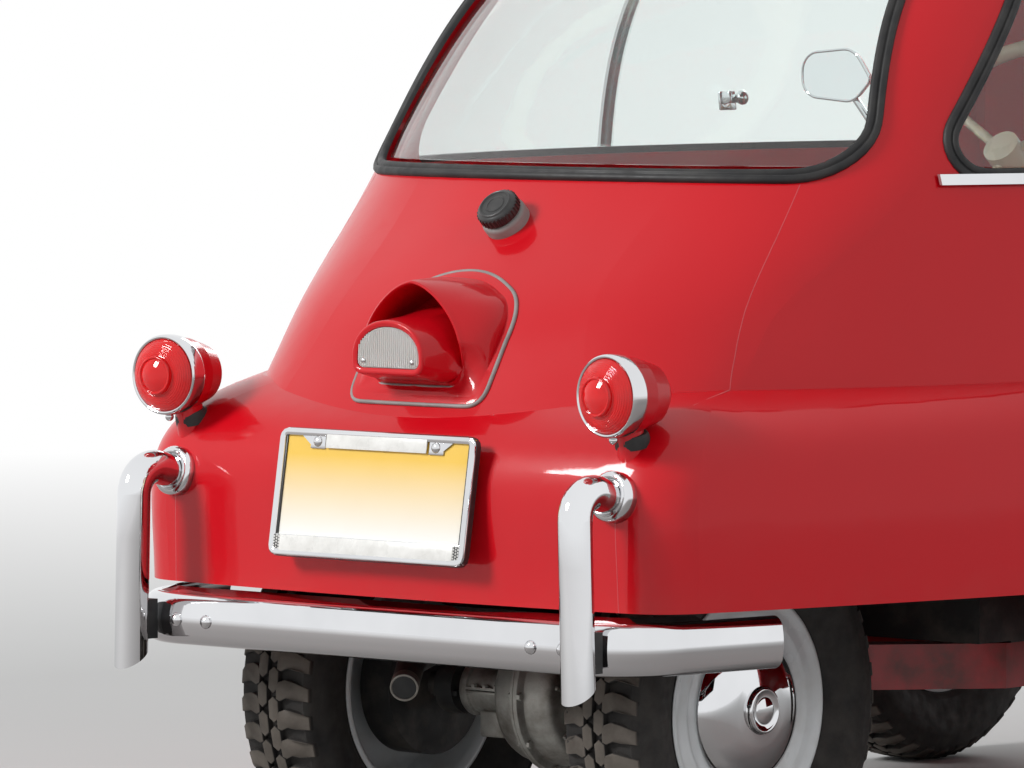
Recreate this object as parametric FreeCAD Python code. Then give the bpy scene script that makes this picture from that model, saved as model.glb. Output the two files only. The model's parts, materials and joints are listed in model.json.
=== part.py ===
import FreeCAD, Part
import math
import os
from FreeCAD import Placement, Rotation, Vector

os.makedirs("parts", exist_ok=True)

# Bubble car in millimetres. Forward is -Y, up is +Z and the car's left is +X.
# The origin lies on the ground, halfway along and across the car.

# Main sizes
wheelbase = 1500.0
rear_axle_y = 777.0
front_track = 1200.0
rear_track = 520.0
hub_height = 240.0
body_half_width = 690.0
cabin_wall = 24.0
skin = 12.0
shut_gap = 8.0

# Wheels, with the disc's faces measured outwards from the tyre's middle
tyre_radius = 240.0
tyre_width = 122.0
tread_width = 98.0
bead_radius = 133.0
rim_flange_radius = 143.0
rim_half_width = 44.0
rim_wall = 3.0
disc_face = 36.0
disc_back = 24.0
hub_cap_radius = 92.0
hub_bore = 12.05
stub_radius = 12.0
axle_radius = 16.0
axle_clearance = 0.05
drum_radius = 88.0
drum_width = 48.0
curved_gap = 0.3

# Steering
kingpin_x = 560.0
kingpin_radius = 9.0
kingpin_eye_radius = 16.0
kingpin_eye_height = 48.0
steer_arm = 92.0
steer_ball_x = 505.0
track_rod_z = 206.0
track_rod_radius = 7.0
arch_radius = 270.0
well_radius = 276.0
well_wall = 6.0
well_inner_x = 418.0

# Door hinge on the car's left
hinge_x = 500.0
hinge_ahead = 1846.0
hinge_pin_radius = 5.0
hinge_knuckle_radius = 11.0
hinge_heights = (512.0, 775.0)

# Windows
seal_width = 20.0
seal_lip = 6.0
seal_proud = 5.0
rebate = 4.0
glass_thickness = 5.0
glass_inset = 8.0

# Lamps and bumpers
bumper_tube_radius = 18.5
head_lamp_x = 590.0
head_lamp_ahead = 1800.0
head_lamp_z = 690.0
head_lamp_radius = 80.0
tail_lamp_x = 353.0
tail_lamp_ahead = -319.0
tail_lamp_z = 631.0
tail_lamp_radius = 49.0
plate_width = 311.0
plate_height = 154.0
plate_tilt = 9.5
plate_ahead = -335.0
plate_z = 499.0

# Inside
floor_z = 292.0
floor_thickness = 12.0
floor_front = 1800.0
bulkhead_ahead = 545.0
sheet = 8.0
shelf_z = 775.0
seat_half_width = 500.0
seat_base_height = 96.0
cushion_thickness = 120.0
soft_gap = 0.3
wheel_x = 250.0
wheel_ahead = 1230.0
wheel_z = 880.0
wheel_radius = 198.0
wheel_rim_radius = 11.0
column_rake = 41.0
column_radius = 20.0
column_length = 700.0

# Frame under the floor
rail_x = 330.0
rail_width = 44.0
rail_height = 56.0
rear_rail_x = 156.0
rear_rail_z = 300.0
cross_tube_radius = 20.0

front_axle_y = rear_axle_y - wheelbase
far = 3000.0


def ahead(distance):
    # Y of a point so far ahead of the rear axle
    return rear_axle_y - distance


# Cabin sections from the bottom up: height, tail and nose ahead of the rear axle, half width,
# where it is widest, and the radii of tail, rear corner, rear side, front side, front corner, nose
cabin_rows = (
    (290, -305, 1850, 545, 1000, 2200, 80, 3000, 1500, 250, 1300),
    (430, -324, 1905, 575, 1000, 2200, 80, 3000, 1500, 280, 1200),
    (530, -308, 1930, 592, 1000, 1800, 90, 2900, 1500, 300, 1100),
    (620, -260, 1925, 606, 1000, 900, 200, 2700, 1500, 320, 1000),
    (740, -176, 1880, 613, 1000, 900, 270, 2300, 1500, 340, 900),
    (876, -35, 1780, 606, 1000, 900, 320, 2000, 1500, 350, 800),
    (1000, 62, 1672, 588, 990, 850, 310, 1700, 1400, 330, 760),
    (1110, 163, 1560, 542, 970, 800, 300, 1500, 1300, 310, 720),
    (1200, 272, 1440, 473, 950, 720, 280, 1300, 1150, 280, 640),
    (1270, 398, 1300, 375, 920, 600, 230, 1000, 950, 230, 520),
    (1316, 560, 1130, 248, 890, 420, 160, 700, 650, 160, 360),
    (1335, 760, 960, 95, 870, 180, 55, 260, 240, 55, 160),
)
# Share of a wall's thickness that goes inwards and downwards at each cabin section
cabin_lean = (
    (1, 0), (1, 0), (1, 0), (0.93, 0.1), (0.85, 0.2), (0.8, 0.35),
    (0.72, 0.45), (0.65, 0.6), (0.55, 0.75), (0.4, 0.9), (0.2, 1), (0, 1),
)

# Lower body sections: height at the tail, tilt in degrees, inset of the outline,
# and the radii of its rear and front corners
skirt_rows = (
    (240, 0, 14, 70, 160), (330, 0, 3, 75, 170), (440, 0.8, 0, 75, 170), (520, 1.6, 2, 76, 170),
    (568, 2.3, 22, 84, 175), (600, 2.7, 58, 96, 180), (625, 3.0, 108, 110, 190),
)
# Lower body outline: tail and nose ahead of the rear axle, half width, where it is widest,
# and the radii of tail, rear side, front side and nose
skirt_outline = (-322, 1850, body_half_width, 1400, 3600, 5400, 2200, 2200)


def unit(a, b):
    dx, dy = b[0] - a[0], b[1] - a[1]
    length = math.hypot(dx, dy)
    return dx / length, dy / length


def meet(c1, r1, c2, r2, side):
    # Where two circles cross; side +1 takes the crossing further ahead, -1 the one behind
    ux, uy = unit(c1, c2)
    span = math.hypot(c2[0] - c1[0], c2[1] - c1[1])
    along = (r1 * r1 - r2 * r2 + span * span) / (2 * span)
    off = math.sqrt(max(r1 * r1 - along * along, 0.0))
    points = [(c1[0] + along * ux + s * off * uy, c1[1] + along * uy - s * off * ux) for s in (1, -1)]
    return max(points, key=lambda p: side * p[1])


def arc_about(centre, radius, start, end):
    # Start, middle and end of the arc round a centre, from one direction to another
    a0 = math.atan2(start[1], start[0])
    a1 = math.atan2(end[1], end[0])
    am = (a0 + a1) / 2
    return [(centre[0] + radius * math.cos(a), centre[1] + radius * math.sin(a)) for a in (a0, am, a1)]


def outline(row, inset=0.0):
    # Closed egg outline of ten tangent arcs, as (x, ahead) triples, starting left of the tail
    tail, nose, half, widest, tail_r, rear_r, side_rear_r, side_front_r, front_r, nose_r = row
    tail_c = (0.0, tail + tail_r)
    rear_side_c = (half - side_rear_r, widest)
    rear_c = meet(tail_c, tail_r - rear_r, rear_side_c, side_rear_r - rear_r, -1)
    nose_c = (0.0, nose - nose_r)
    front_side_c = (half - side_front_r, widest)
    front_c = meet(nose_c, nose_r - front_r, front_side_c, side_front_r - front_r, 1)
    to_tail = unit(tail_c, rear_c)
    to_rear_side = unit(rear_side_c, rear_c)
    to_front_side = unit(front_side_c, front_c)
    to_nose = unit(nose_c, front_c)
    right = [
        arc_about(rear_c, rear_r - inset, to_tail, to_rear_side),
        arc_about(rear_side_c, side_rear_r - inset, to_rear_side, (1, 0)),
        arc_about(front_side_c, side_front_r - inset, (1, 0), to_front_side),
        arc_about(front_c, front_r - inset, to_front_side, to_nose),
    ]
    left = [[(-p[0], p[1]) for p in reversed(arc)] for arc in reversed(right)]
    tail_start = left[-1][-1]
    nose_start = right[-1][-1]
    tail_arc = [tail_start, (0.0, tail + inset), (-tail_start[0], tail_start[1])]
    nose_arc = [nose_start, (0.0, nose - inset), (-nose_start[0], nose_start[1])]
    return [tail_arc] + right + [nose_arc] + left


def section(row, z, inset=0.0, tilt=0.0):
    edges = []
    for arc in outline(row, inset):
        a, b, c = [Vector(x, ahead(y), z) for x, y in arc]
        edges.append(Part.Arc(a, b, c).toShape())
    wire = Part.Wire(edges)
    if tilt:
        wire.rotate(Vector(0, ahead(row[0]), z), Vector(1, 0, 0), -tilt)
    return wire


cabin_lofts = {}


def cabin(inset):
    # The cabin's egg, moved inwards; each loft is kept, as several pieces use it
    if inset in cabin_lofts:
        return cabin_lofts[inset]
    wires = []
    for row, lean in zip(cabin_rows, cabin_lean):
        wires.append(section(row[1:], row[0] - inset * lean[1], inset * lean[0]))
    cabin_lofts[inset] = Part.makeLoft(wires, True, False)
    return cabin_lofts[inset]


def skirt(inset, drop):
    tail, nose, half, widest, tail_r, rear_side_r, front_side_r, nose_r = skirt_outline
    wires = []
    for z, tilt, inward, rear_r, front_r in skirt_rows:
        row = (
            tail + inward, nose - inward, half - inward, widest, tail_r - inward, rear_r,
            rear_side_r - inward, front_side_r - inward, front_r, nose_r - inward,
        )
        wires.append(section(row, z - drop, inset, tilt))
    return Part.makeLoft(wires, True, False)


def box(x0, x1, y0, y1, z0, z1):
    low = Vector(min(x0, x1), min(y0, y1), min(z0, z1))
    return Part.makeBox(abs(x1 - x0), abs(y1 - y0), abs(z1 - z0), low)


def rod(start, end, radius):
    start, end = Vector(*start), Vector(*end)
    return Part.makeCylinder(radius, (end - start).Length, start, end - start)


def rounded(points, radii):
    # Edges of a closed polygon with its corners rounded, in its own flat plane
    count = len(points)
    corners = []
    for i in range(count):
        p, before, after = points[i], points[i - 1], points[(i + 1) % count]
        r = radii[i] if isinstance(radii, (list, tuple)) else radii
        to_before = (before - p).normalize()
        to_after = (after - p).normalize()
        half = to_before.getAngle(to_after) / 2
        if r < 0.01 or half > 1.56:
            corners.append((p, None, p))
            continue
        reach = r / math.tan(half)
        middle = (to_before + to_after).normalize() * (r / math.sin(half) - r)
        corners.append((p + to_before * reach, p + middle, p + to_after * reach))
    edges = []
    for i in range(count):
        start, middle, end = corners[i]
        if middle is not None:
            edges.append(Part.Arc(start, middle, end).toShape())
        following = corners[(i + 1) % count][0]
        if (following - end).Length > 0.01:
            edges.append(Part.LineSegment(end, following).toShape())
    return Part.Wire(edges)


def grown(wire, amount):
    return wire.makeOffset2D(amount) if amount else wire


def prism(wire, direction):
    return Part.Face(wire).extrude(Vector(*direction))


def revolve(profile, axis_point, axis):
    # A closed profile of (radius, distance along the axis) points, turned about the axis
    z_axis = Vector(*axis).normalize()
    points = [Vector(r, 0, a) for r, a in profile]
    face = Part.Face(Part.makePolygon(points + [points[0]]))
    solid = face.revolve(Vector(0, 0, 0), Vector(0, 0, 1), 360)
    solid.Placement = Placement(Vector(*axis_point), Rotation(Vector(0, 0, 1), z_axis))
    return solid


def bend(points, radius):
    # A path of straight runs joined by tangent arcs
    points = [Vector(*p) for p in points]
    edges = []
    last = points[0]
    for i in range(1, len(points) - 1):
        to_before = (points[i - 1] - points[i]).normalize()
        to_after = (points[i + 1] - points[i]).normalize()
        half = to_before.getAngle(to_after) / 2
        reach = radius / math.tan(half)
        middle = (to_before + to_after).normalize() * (radius / math.sin(half) - radius)
        start = points[i] + to_before * reach
        end = points[i] + to_after * reach
        if (start - last).Length > 0.01:
            edges.append(Part.LineSegment(last, start).toShape())
        edges.append(Part.Arc(start, points[i] + middle, end).toShape())
        last = end
    edges.append(Part.LineSegment(last, points[-1]).toShape())
    return Part.Wire(edges)


def tube(points, radius, bend_radius, bore=0.0):
    path = bend(points, bend_radius)
    start = Vector(*points[0])
    along = Vector(*points[1]) - start
    outer = path.makePipeShell([Part.Wire(Part.makeCircle(radius, start, along))], True, True)
    if not bore:
        return outer
    return outer.cut(path.makePipeShell([Part.Wire(Part.makeCircle(bore, start, along))], True, True))


def mirrored(shape):
    return shape.mirror(Vector(0, 0, 0), Vector(1, 0, 0))


def both(shape):
    return Part.makeCompound([shape, mirrored(shape)])


def joined(shapes):
    shapes = list(shapes)
    return shapes[0].multiFuse(shapes[1:]).removeSplitter()


def save(name, shape):
    solids = shape.Solids
    out = solids[0] if len(solids) == 1 else Part.makeCompound(solids)
    out.exportStep("parts/%s.step" % name)
    volume = out.Volume / 1000
    print("%-24s solids %2d  volume %9.1f cm3  valid %s" % (name, len(solids), volume, out.isValid()))


# Window and door outlines, as seen from behind or from the side
rear_window_corners = ((-403, 875), (403, 875), (310, 1236), (-310, 1236))
rear_window_radii = [54, 54, 95, 95]
# Ahead of the rear axle and height
side_window_corners = ((165, 872), (1418, 872), (1300, 1198), (455, 1212))
side_window_radii = [40, 45, 80, 120]
screen_corners = ((-468, 852), (468, 852), (270, 1155), (-270, 1155))
screen_radii = [80, 80, 100, 100]
# Right half of the door's outline from the front, with the radius of each corner
door_outline = (
    (400, 300, 90), (432, 470, 200), (478, 600, 200), (488, 760, 120), (560, 860, 120), (700, 960, 60),
    (700, 1420, 0),
)
door_step = 14.0
door_skin = 8.0
roof_corners = ((-330, 610), (330, 610), (330, 1235), (-330, 1235))
roof_radius = 90.0
roof_overlap = 18.0
roof_cloth = 3.7


def front_wire(corners, radii, grow, at):
    # An outline seen along the car, at a place ahead of the rear axle
    wire = rounded([Vector(x, 0, z) for x, z in corners], radii)
    return grown(wire, grow).translated(Vector(0, ahead(at), 0))


def side_wire(corners, radii, grow, x):
    wire = rounded([Vector(0, ahead(a), z) for a, z in corners], radii)
    return grown(wire, grow).translated(Vector(x, 0, 0))


def rear_window_space(inward):
    return prism(front_wire(rear_window_corners, rear_window_radii, -inward, 600), (0, 900, 0))


def side_window_space(inward):
    return prism(side_wire(side_window_corners, side_window_radii, -inward, -far), (2 * far, 0, 0))


def screen_space(inward):
    return prism(front_wire(screen_corners, screen_radii, -inward, 2100), (0, 1000, 0))


def roof_space(grow):
    wire = rounded([Vector(x, ahead(a), 1100) for x, a in roof_corners], roof_radius)
    return prism(grown(wire, grow), (0, 0, 400))


# The door's rear edge lies in a raked plane through two points of the side view
split_top = (1372.0, 1255.0)
split_belt = (1500.0, 880.0)
split_angle = math.degrees(math.atan2(split_belt[0] - split_top[0], split_top[1] - split_belt[1]))


def door_space(grow):
    # All that lies in front of the raked plane and inside the door's front outline
    right = [(x, z) for x, z, r in door_outline]
    radii = [r for x, z, r in door_outline]
    points = right + [(-x, z) for x, z in reversed(right)]
    wire = front_wire(points, radii + radii[::-1], grow, 2100)
    slab = box(-far, far, -far, 0, -far, far)
    slab.rotate(Vector(0, 0, 0), Vector(1, 0, 0), -split_angle)
    along = grow / math.cos(math.radians(split_angle))
    slab.translate(Vector(0, ahead(split_belt[0]) + along, split_belt[1]))
    return prism(wire, (0, 1000, 0)).common(slab)


# Body skin: an egg cabin over a wider lower body, hollow, with its openings
outer_cabin = cabin(0)
inner_cabin = cabin(cabin_wall)
outer_skirt = skirt(0, 0)
inner_skirt = skirt(skin, skin)
whole_skin = outer_cabin.fuse(outer_skirt).cut(inner_cabin).cut(inner_skirt)

tail_edge_z = 378.0
under_rear = side_wire(
    ((-500, 100), (330, 100), (262, tail_edge_z), (-500, tail_edge_z)), [0, 0, 60, 0], 0, -far
)
under_rear = prism(under_rear, (2 * far, 0, 0))
front_arch = rod((-far, front_axle_y, hub_height), (far, front_axle_y, hub_height), arch_radius)

# Engine flap on the car's right side, hinged along its upper edge
flap_gap = 6.0
flap_corners = ((270, 420), (640, 420), (640, 606), (278, 588))
flap_radii = [30, 30, 26, 26]
flap_zone = prism(side_wire(flap_corners, flap_radii, 0, -far), (far - 200, 0, 0))
flap_opening = prism(side_wire(flap_corners, flap_radii, flap_gap, -far), (far - 200, 0, 0))

# Filler recess in the tail, square to the slope there
filler_ahead = -98.0
filler_z = 826.0
filler_slope = 47.0
filler_out = Vector(0, math.sin(math.radians(filler_slope)), math.cos(math.radians(filler_slope)))
filler_seat = Vector(0, ahead(filler_ahead), filler_z)
dish_radius = 66.0
dish_lift = 50.0
dish = Part.makeSphere(dish_radius, filler_seat + filler_out * dish_lift)

main_skin = whole_skin.cut(under_rear).cut(front_arch)
engine_flap = main_skin.common(flap_zone)


def flank(distance, z):
    # The point of the right flank's outer face at a place ahead of the rear axle and a height
    line = Part.makeLine(Vector(-far, ahead(distance), z), Vector(0, ahead(distance), z))
    hits = [line.common(solid).Vertexes for solid in (outer_cabin, outer_skirt)]
    return Vector(min(v.X for found in hits for v in found), ahead(distance), z)


# Its two hinges: a barrel on the flap between two lugs of the body, on one pin line
flap_pin_radius = 3.0
flap_barrel_radius = 7.0
flap_barrel_length = 30.0
flap_lift = 9.0
flap_proud = 5.0
flap_hinge_points = ((330, 590.5 + flap_lift), (590, 603.5 + flap_lift))
down_slope = (flank(460, 575) - flank(460, 597)).normalize()
slope_out = Vector(0, 1, 0).cross(down_slope).normalize()
flap_pins = [flank(a, z) + slope_out * flap_proud for a, z in flap_hinge_points]
flap_line = (flap_pins[1] - flap_pins[0]).normalize()


def on_pin(centre, radius, low, high):
    return Part.makeCylinder(radius, high - low, centre + flap_line * low, flap_line)


flap_lugs = []
flap_barrels = []
flap_notches = []
half_barrel = flap_barrel_length / 2
for centre in flap_pins:
    foot_low = centre - slope_out * (flap_proud + 3) - flap_line * (half_barrel - 2)
    foot_high = foot_low + slope_out * 6
    leaf = [foot_low, foot_high, foot_high + down_slope * 26, foot_low + down_slope * 26]
    leaf = prism(Part.makePolygon(leaf + [leaf[0]]), flap_line * (flap_barrel_length - 4))
    barrel = on_pin(centre, flap_barrel_radius, -half_barrel, half_barrel).fuse(leaf)
    flap_barrels.append(barrel.cut(on_pin(centre, flap_pin_radius + axle_clearance, -far, far)))
    flap_notches.append(on_pin(centre, flap_barrel_radius + 3, -half_barrel - 0.5, half_barrel + 0.5))
    for shift in (-half_barrel - 10.5, half_barrel + 0.5):
        flap_lugs.append(on_pin(centre, flap_barrel_radius, shift, shift + 10))
    flap_lugs.append(on_pin(centre, flap_pin_radius, -half_barrel - 8, half_barrel + 8))
print("flap hinge", tuple(flap_pins[0]), tuple(flap_pins[1]))
engine_flap = joined([engine_flap] + flap_barrels)
body = main_skin.cut(door_space(shut_gap))
for opening in (rear_window_space(rebate), side_window_space(rebate), roof_space(0), flap_opening, dish):
    body = body.cut(opening)
for notch in flap_notches:
    body = body.cut(notch)
body = joined([body] + flap_lugs)
save("body_shell", body)
save("engine_flap", engine_flap)

# Front door: outer skin, and an inner panel set in from its edge
door_outer = outer_cabin.cut(cabin(door_skin)).common(door_space(0))
door_inner = cabin(door_skin).cut(inner_cabin).common(door_space(-door_step))
front_door = door_outer.fuse(door_inner).cut(screen_space(rebate))
save("front_door", front_door)

# Glass and rubber
glass_space = cabin(glass_inset).cut(cabin(glass_inset + glass_thickness))
sash_overlap = 24.0
sash_split = 790.0
slider_space = cabin(glass_inset + 8).cut(cabin(glass_inset + 8 + glass_thickness))


def split_seal(space):
    # The rubber grips the panel's edge: the panel lies in its groove
    outside = cabin(-seal_proud).cut(outer_cabin).common(space(-seal_lip).cut(space(seal_width - seal_lip)))
    between = outer_cabin.cut(cabin(cabin_wall)).common(space(rebate).cut(space(seal_width - seal_lip)))
    return outside.fuse(between)


rear_seal = split_seal(rear_window_space)
side_seals = split_seal(side_window_space)
save("window_seals", Part.makeCompound(rear_seal.Solids + side_seals.Solids))
save("windscreen_seal", split_seal(screen_space))
save("rear_window", glass_space.common(rear_window_space(seal_width - seal_lip)))
save("windscreen", glass_space.common(screen_space(seal_width - seal_lip)))
side_zone = side_window_space(seal_width - seal_lip)
rear_half = box(-far, far, ahead(sash_split + sash_overlap / 2), far, 0, far)
front_half = box(-far, far, -far, ahead(sash_split - sash_overlap / 2), 0, far)
panes = glass_space.common(side_zone.common(rear_half)).Solids
panes += slider_space.common(side_zone.common(front_half)).Solids
save("side_windows", Part.makeCompound(panes))

# Upright sash bars where the panes pass each other, and a chrome strip along each sill
bar_space = cabin(glass_inset - 6).cut(cabin(glass_inset))
bars = bar_space.common(side_zone).common(
    box(-far, far, ahead(sash_split + 13), ahead(sash_split - 13), 0, far)
)
sill = cabin(-9).cut(cabin(-seal_proud))
sill = sill.common(box(-far, far, ahead(1395), ahead(190), 866, 879))
save("side_window_frames", Part.makeCompound(bars.Solids + sill.Solids))

# Fabric roof panel stretched over the opening
roof_skin = cabin(-soft_gap - roof_cloth).cut(cabin(-soft_gap)).common(roof_space(roof_overlap))
save("sunroof", roof_skin)

# Floor, bulkhead, shelf, inner sides and front wheel wells
floor_top = floor_z + floor_thickness
wells = rod((-far, front_axle_y, hub_height), (far, front_axle_y, hub_height), well_radius + well_wall)
well_cores = rod((-far, front_axle_y, hub_height), (far, front_axle_y, hub_height), well_radius)
beside = box(-far, -well_inner_x, -far, far, 0, far).fuse(box(well_inner_x, far, -far, far, 0, far))
wells_outer = wells.common(beside)
lining_outer = cabin(10)
lining_inner = cabin(22)
floor = lining_outer.common(box(-far, far, ahead(floor_front), ahead(bulkhead_ahead), floor_z, floor_top))
floor = floor.cut(wells_outer)
bulkhead = inner_cabin.common(
    box(-far, far, ahead(bulkhead_ahead + sheet), ahead(bulkhead_ahead), floor_top, shelf_z)
)
shelf = inner_cabin.common(
    box(-far, far, ahead(bulkhead_ahead + sheet), ahead(-160), shelf_z, shelf_z + sheet)
)
save("parcel_shelf", shelf)
lining = lining_outer.cut(lining_inner).common(inner_skirt)
lining = lining.common(box(-far, far, ahead(1560), ahead(bulkhead_ahead), floor_top, far)).cut(wells_outer)
well_tubs = wells.cut(well_cores).common(beside)
well_walls = wells.common(box(-well_inner_x - well_wall, -well_inner_x, -far, far, 0, far).fuse(
    box(well_inner_x, well_inner_x + well_wall, -far, far, 0, far)))
well_tubs = well_tubs.fuse(well_walls).common(inner_skirt).common(box(-far, far, -far, far, floor_z, far))
save("inner_sides", lining.fuse(well_tubs).cut(door_space(shut_gap)))

# Bench seat
base_outer = box(-470, 470, ahead(1040), ahead(650), floor_top, floor_top + seat_base_height)
base_inner = box(-462, 462, ahead(1032), ahead(658), floor_top, floor_top + seat_base_height - sheet)
save("floor_pan", joined([floor, bulkhead, base_outer.cut(base_inner)]))
cushion_low = floor_top + seat_base_height + soft_gap
cushion_top = cushion_low + cushion_thickness
cushion = side_wire(
    ((590, cushion_low), (1075, cushion_low), (1075, cushion_top), (590, cushion_top - 10)),
    [30, 45, 55, 25], 0, -seat_half_width,
)
save("seat_cushion", prism(cushion, (2 * seat_half_width, 0, 0)))
back_foot = bulkhead_ahead + sheet + soft_gap
backrest = side_wire(
    ((back_foot, cushion_top + soft_gap), (back_foot + 120, cushion_top + soft_gap), (back_foot + 70, 860),
     (back_foot, 860)), [20, 40, 34, 30], 0, -seat_half_width,
)
save("seat_backrest", prism(backrest, (2 * seat_half_width, 0, 0)))

# Frame: two rails, stepped up over the rear axle, with cross tubes
rail_in = rail_x - rail_width / 2
rail_out = rail_x + rail_width / 2
rear_in = rear_rail_x - rail_width / 2
rear_out = rear_rail_x + rail_width / 2
rail_low = floor_z - rail_height
plan = (
    (rail_in, 1720), (rail_out, 1720), (rail_out, 445), (rear_out, 250), (rear_out, 205), (rear_in, 205),
    (rear_in, 270), (rail_in, 462),
)
rail = Part.makePolygon([Vector(x, ahead(a), rail_low) for x, a in plan + (plan[0],)])
rail = prism(rail, (0, 0, rail_height))
tail_cross_ahead = -262.0
riser = box(rear_in, rear_out, ahead(258), ahead(205), rail_low, rear_rail_z + rail_width)
rail_end = ahead(tail_cross_ahead - 14)
rear_rail = box(rear_in, rear_out, ahead(258), rail_end, rear_rail_z, rear_rail_z + rail_width)
frame_side = joined([rail, riser, rear_rail])
tube_z = rail_low + rail_height / 2
crosses = [rod((-rail_in - 5, ahead(a), tube_z), (rail_in + 5, ahead(a), tube_z), cross_tube_radius)
           for a in (1695, 1180, 560)]
tail_cross_z = rear_rail_z + rail_width / 2
tail_cross_y = ahead(tail_cross_ahead)
crosses.append(rod((-300, tail_cross_y, tail_cross_z), (300, tail_cross_y, tail_cross_z), 14))
jack_pads = [box(rail_in + 4, rail_out - 4, ahead(a + 32), ahead(a - 32), rail_low - 6, rail_low)
             for a in (1300, 620)]
frame_side = joined([frame_side] + jack_pads)
chassis = joined([frame_side, mirrored(frame_side)] + crosses)
save("chassis_frame", chassis)

# Front suspension: a beam to each kingpin eye
eye_low = hub_height - kingpin_eye_height / 2
eye_high = hub_height + kingpin_eye_height / 2
beam = rod((rail_out, front_axle_y, hub_height), (kingpin_x - 8, front_axle_y, hub_height), 14)
pad = box(rail_out, rail_out + 12, front_axle_y - 40, front_axle_y + 40, hub_height - 2, floor_z)
eye = rod((kingpin_x, front_axle_y, eye_low), (kingpin_x, front_axle_y, eye_high), kingpin_eye_radius)
arm = joined([beam, pad, eye])
kingpin_bore = kingpin_radius + axle_clearance
arm = arm.cut(rod((kingpin_x, front_axle_y, 0), (kingpin_x, front_axle_y, 500), kingpin_bore))
save("front_suspension", both(arm))

# Steering knuckle: yoke and pin, back plate, stub axle and steering arm with its ball
ear = 14.0
yoke_x = kingpin_x + kingpin_eye_radius + 4
plate_x = yoke_x + 8
ear_gap = 2.0
stub_end = front_track / 2 + disc_face - 2
ear_low, ear_high = eye_low - ear_gap, eye_high + ear_gap
yoke_back, yoke_front = front_axle_y + 14, front_axle_y - 14
knuckle_parts = [
    box(kingpin_x - 14, plate_x, yoke_front, yoke_back, ear_high, ear_high + ear),
    box(kingpin_x - 14, plate_x, yoke_front, yoke_back, ear_low - ear, ear_low),
    box(yoke_x, plate_x, yoke_front, yoke_back, ear_low - ear, ear_high + ear),
    rod((kingpin_x, front_axle_y, ear_low - ear), (kingpin_x, front_axle_y, ear_high + ear), kingpin_radius),
    rod((plate_x - 3, front_axle_y, hub_height), (plate_x, front_axle_y, hub_height), drum_radius + 2),
    rod((plate_x, front_axle_y, hub_height), (stub_end, front_axle_y, hub_height), stub_radius),
    rod((kingpin_x, front_axle_y, track_rod_z), (steer_ball_x, front_axle_y + steer_arm, track_rod_z), 7),
    Part.makeSphere(11, Vector(steer_ball_x, front_axle_y + steer_arm, track_rod_z)),
]
knuckle = joined(knuckle_parts)
save("knuckle_left", knuckle)
save("knuckle_right", mirrored(knuckle))

# Track rod in its guide, and the steering box that holds it
rod_end = steer_ball_x - 11 - 6
rod_y = front_axle_y + steer_arm
save("track_rod", rod((-rod_end, rod_y, track_rod_z), (rod_end, rod_y, track_rod_z), track_rod_radius))
gear_box = box(rail_in, rail_out + 26, rod_y - 24, rod_y + 24, track_rod_z - 22, rail_low)
lower_column = rod((rail_out + 12, rod_y, track_rod_z + 4), (rail_out + 12, rod_y, floor_z), 10)
gear_box = gear_box.fuse(lower_column)
gear_box = gear_box.cut(
    rod((-far, rod_y, track_rod_z), (far, rod_y, track_rod_z), track_rod_radius + axle_clearance)
)
save("steering_box", gear_box)

# Wheels: tyre, pressed steel wheel and hub cap, about +X through the tyre's middle
half_width = tyre_width / 2
half_tread = tread_width / 2
bead_half = rim_half_width - rim_wall - curved_gap
tyre_profile = (
    (bead_radius, -bead_half), (rim_flange_radius + 2, -bead_half), (190, -half_width),
    (222, -half_width + 3), (tyre_radius, -half_tread), (tyre_radius, half_tread),
    (222, half_width - 3), (190, half_width),
    (rim_flange_radius + 2, bead_half), (bead_radius, bead_half),
)
rim_outer = bead_radius - curved_gap
rim_inner = rim_outer - rim_wall
front_hub_face = -6.0
rear_hub_face = -16.0


def wheel_steel(bore, hub_face):
    # Rim, dished disc and hub in one, about the wheel's axis; distances grow outwards
    flange = rim_half_width
    profile = (
        (bore, hub_face), (36, hub_face), (36, 18), (94, disc_back), (112, disc_back + 4),
        (rim_inner, disc_back + 4), (rim_inner, -flange), (rim_flange_radius, -flange),
        (rim_flange_radius, -flange + rim_wall), (rim_outer, -flange + rim_wall),
        (rim_outer, flange - rim_wall), (rim_flange_radius, flange - rim_wall),
        (rim_flange_radius, flange), (rim_flange_radius - 5, flange), (rim_flange_radius - 11, flange - 4),
        (110, disc_face + 2), (104, disc_face), (bore, disc_face),
    )
    return profile


cap_profile = (
    (0, disc_face), (hub_cap_radius - 3, disc_face), (hub_cap_radius, disc_face + 2), (88, 46),
    (76, 54), (56, 60), (28, 62), (28, 67), (23, 70), (0, 70),
)


def wheel_set(x, y, outward):
    place = (x, y, hub_height)
    axis = (outward, 0, 0)
    return place, axis


for side, name in ((1, "left"), (-1, "right")):
    place, axis = wheel_set(side * front_track / 2, front_axle_y, side)
    save("tyre_front_%s" % name, revolve(tyre_profile, place, axis))
    save("wheel_front_%s" % name, revolve(wheel_steel(hub_bore, front_hub_face), place, axis))
    cap = revolve(cap_profile, place, axis)
    save("hub_cap_front_%s" % name, cap)

rear_places = [wheel_set(side * rear_track / 2, rear_axle_y, side) for side in (1, -1)]
save("tyres_rear", Part.makeCompound([revolve(tyre_profile, p, a) for p, a in rear_places]))
rear_steel = wheel_steel(axle_radius, rear_hub_face)
save("wheels_rear", Part.makeCompound([revolve(rear_steel, p, a) for p, a in rear_places]))
save("hub_caps_rear", Part.makeCompound([revolve(cap_profile, p, a) for p, a in rear_places]))
axle_end = rear_track / 2 + disc_face - 2
rear_axle = rod((-axle_end, rear_axle_y, hub_height), (axle_end, rear_axle_y, hub_height), axle_radius)
drum_out = rear_track / 2 + rear_hub_face
drums = [rod((s * (drum_out - drum_width), rear_axle_y, hub_height), (s * drum_out, rear_axle_y, hub_height),
             drum_radius) for s in (1, -1)]
save("rear_axle", joined([rear_axle] + drums))

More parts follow.
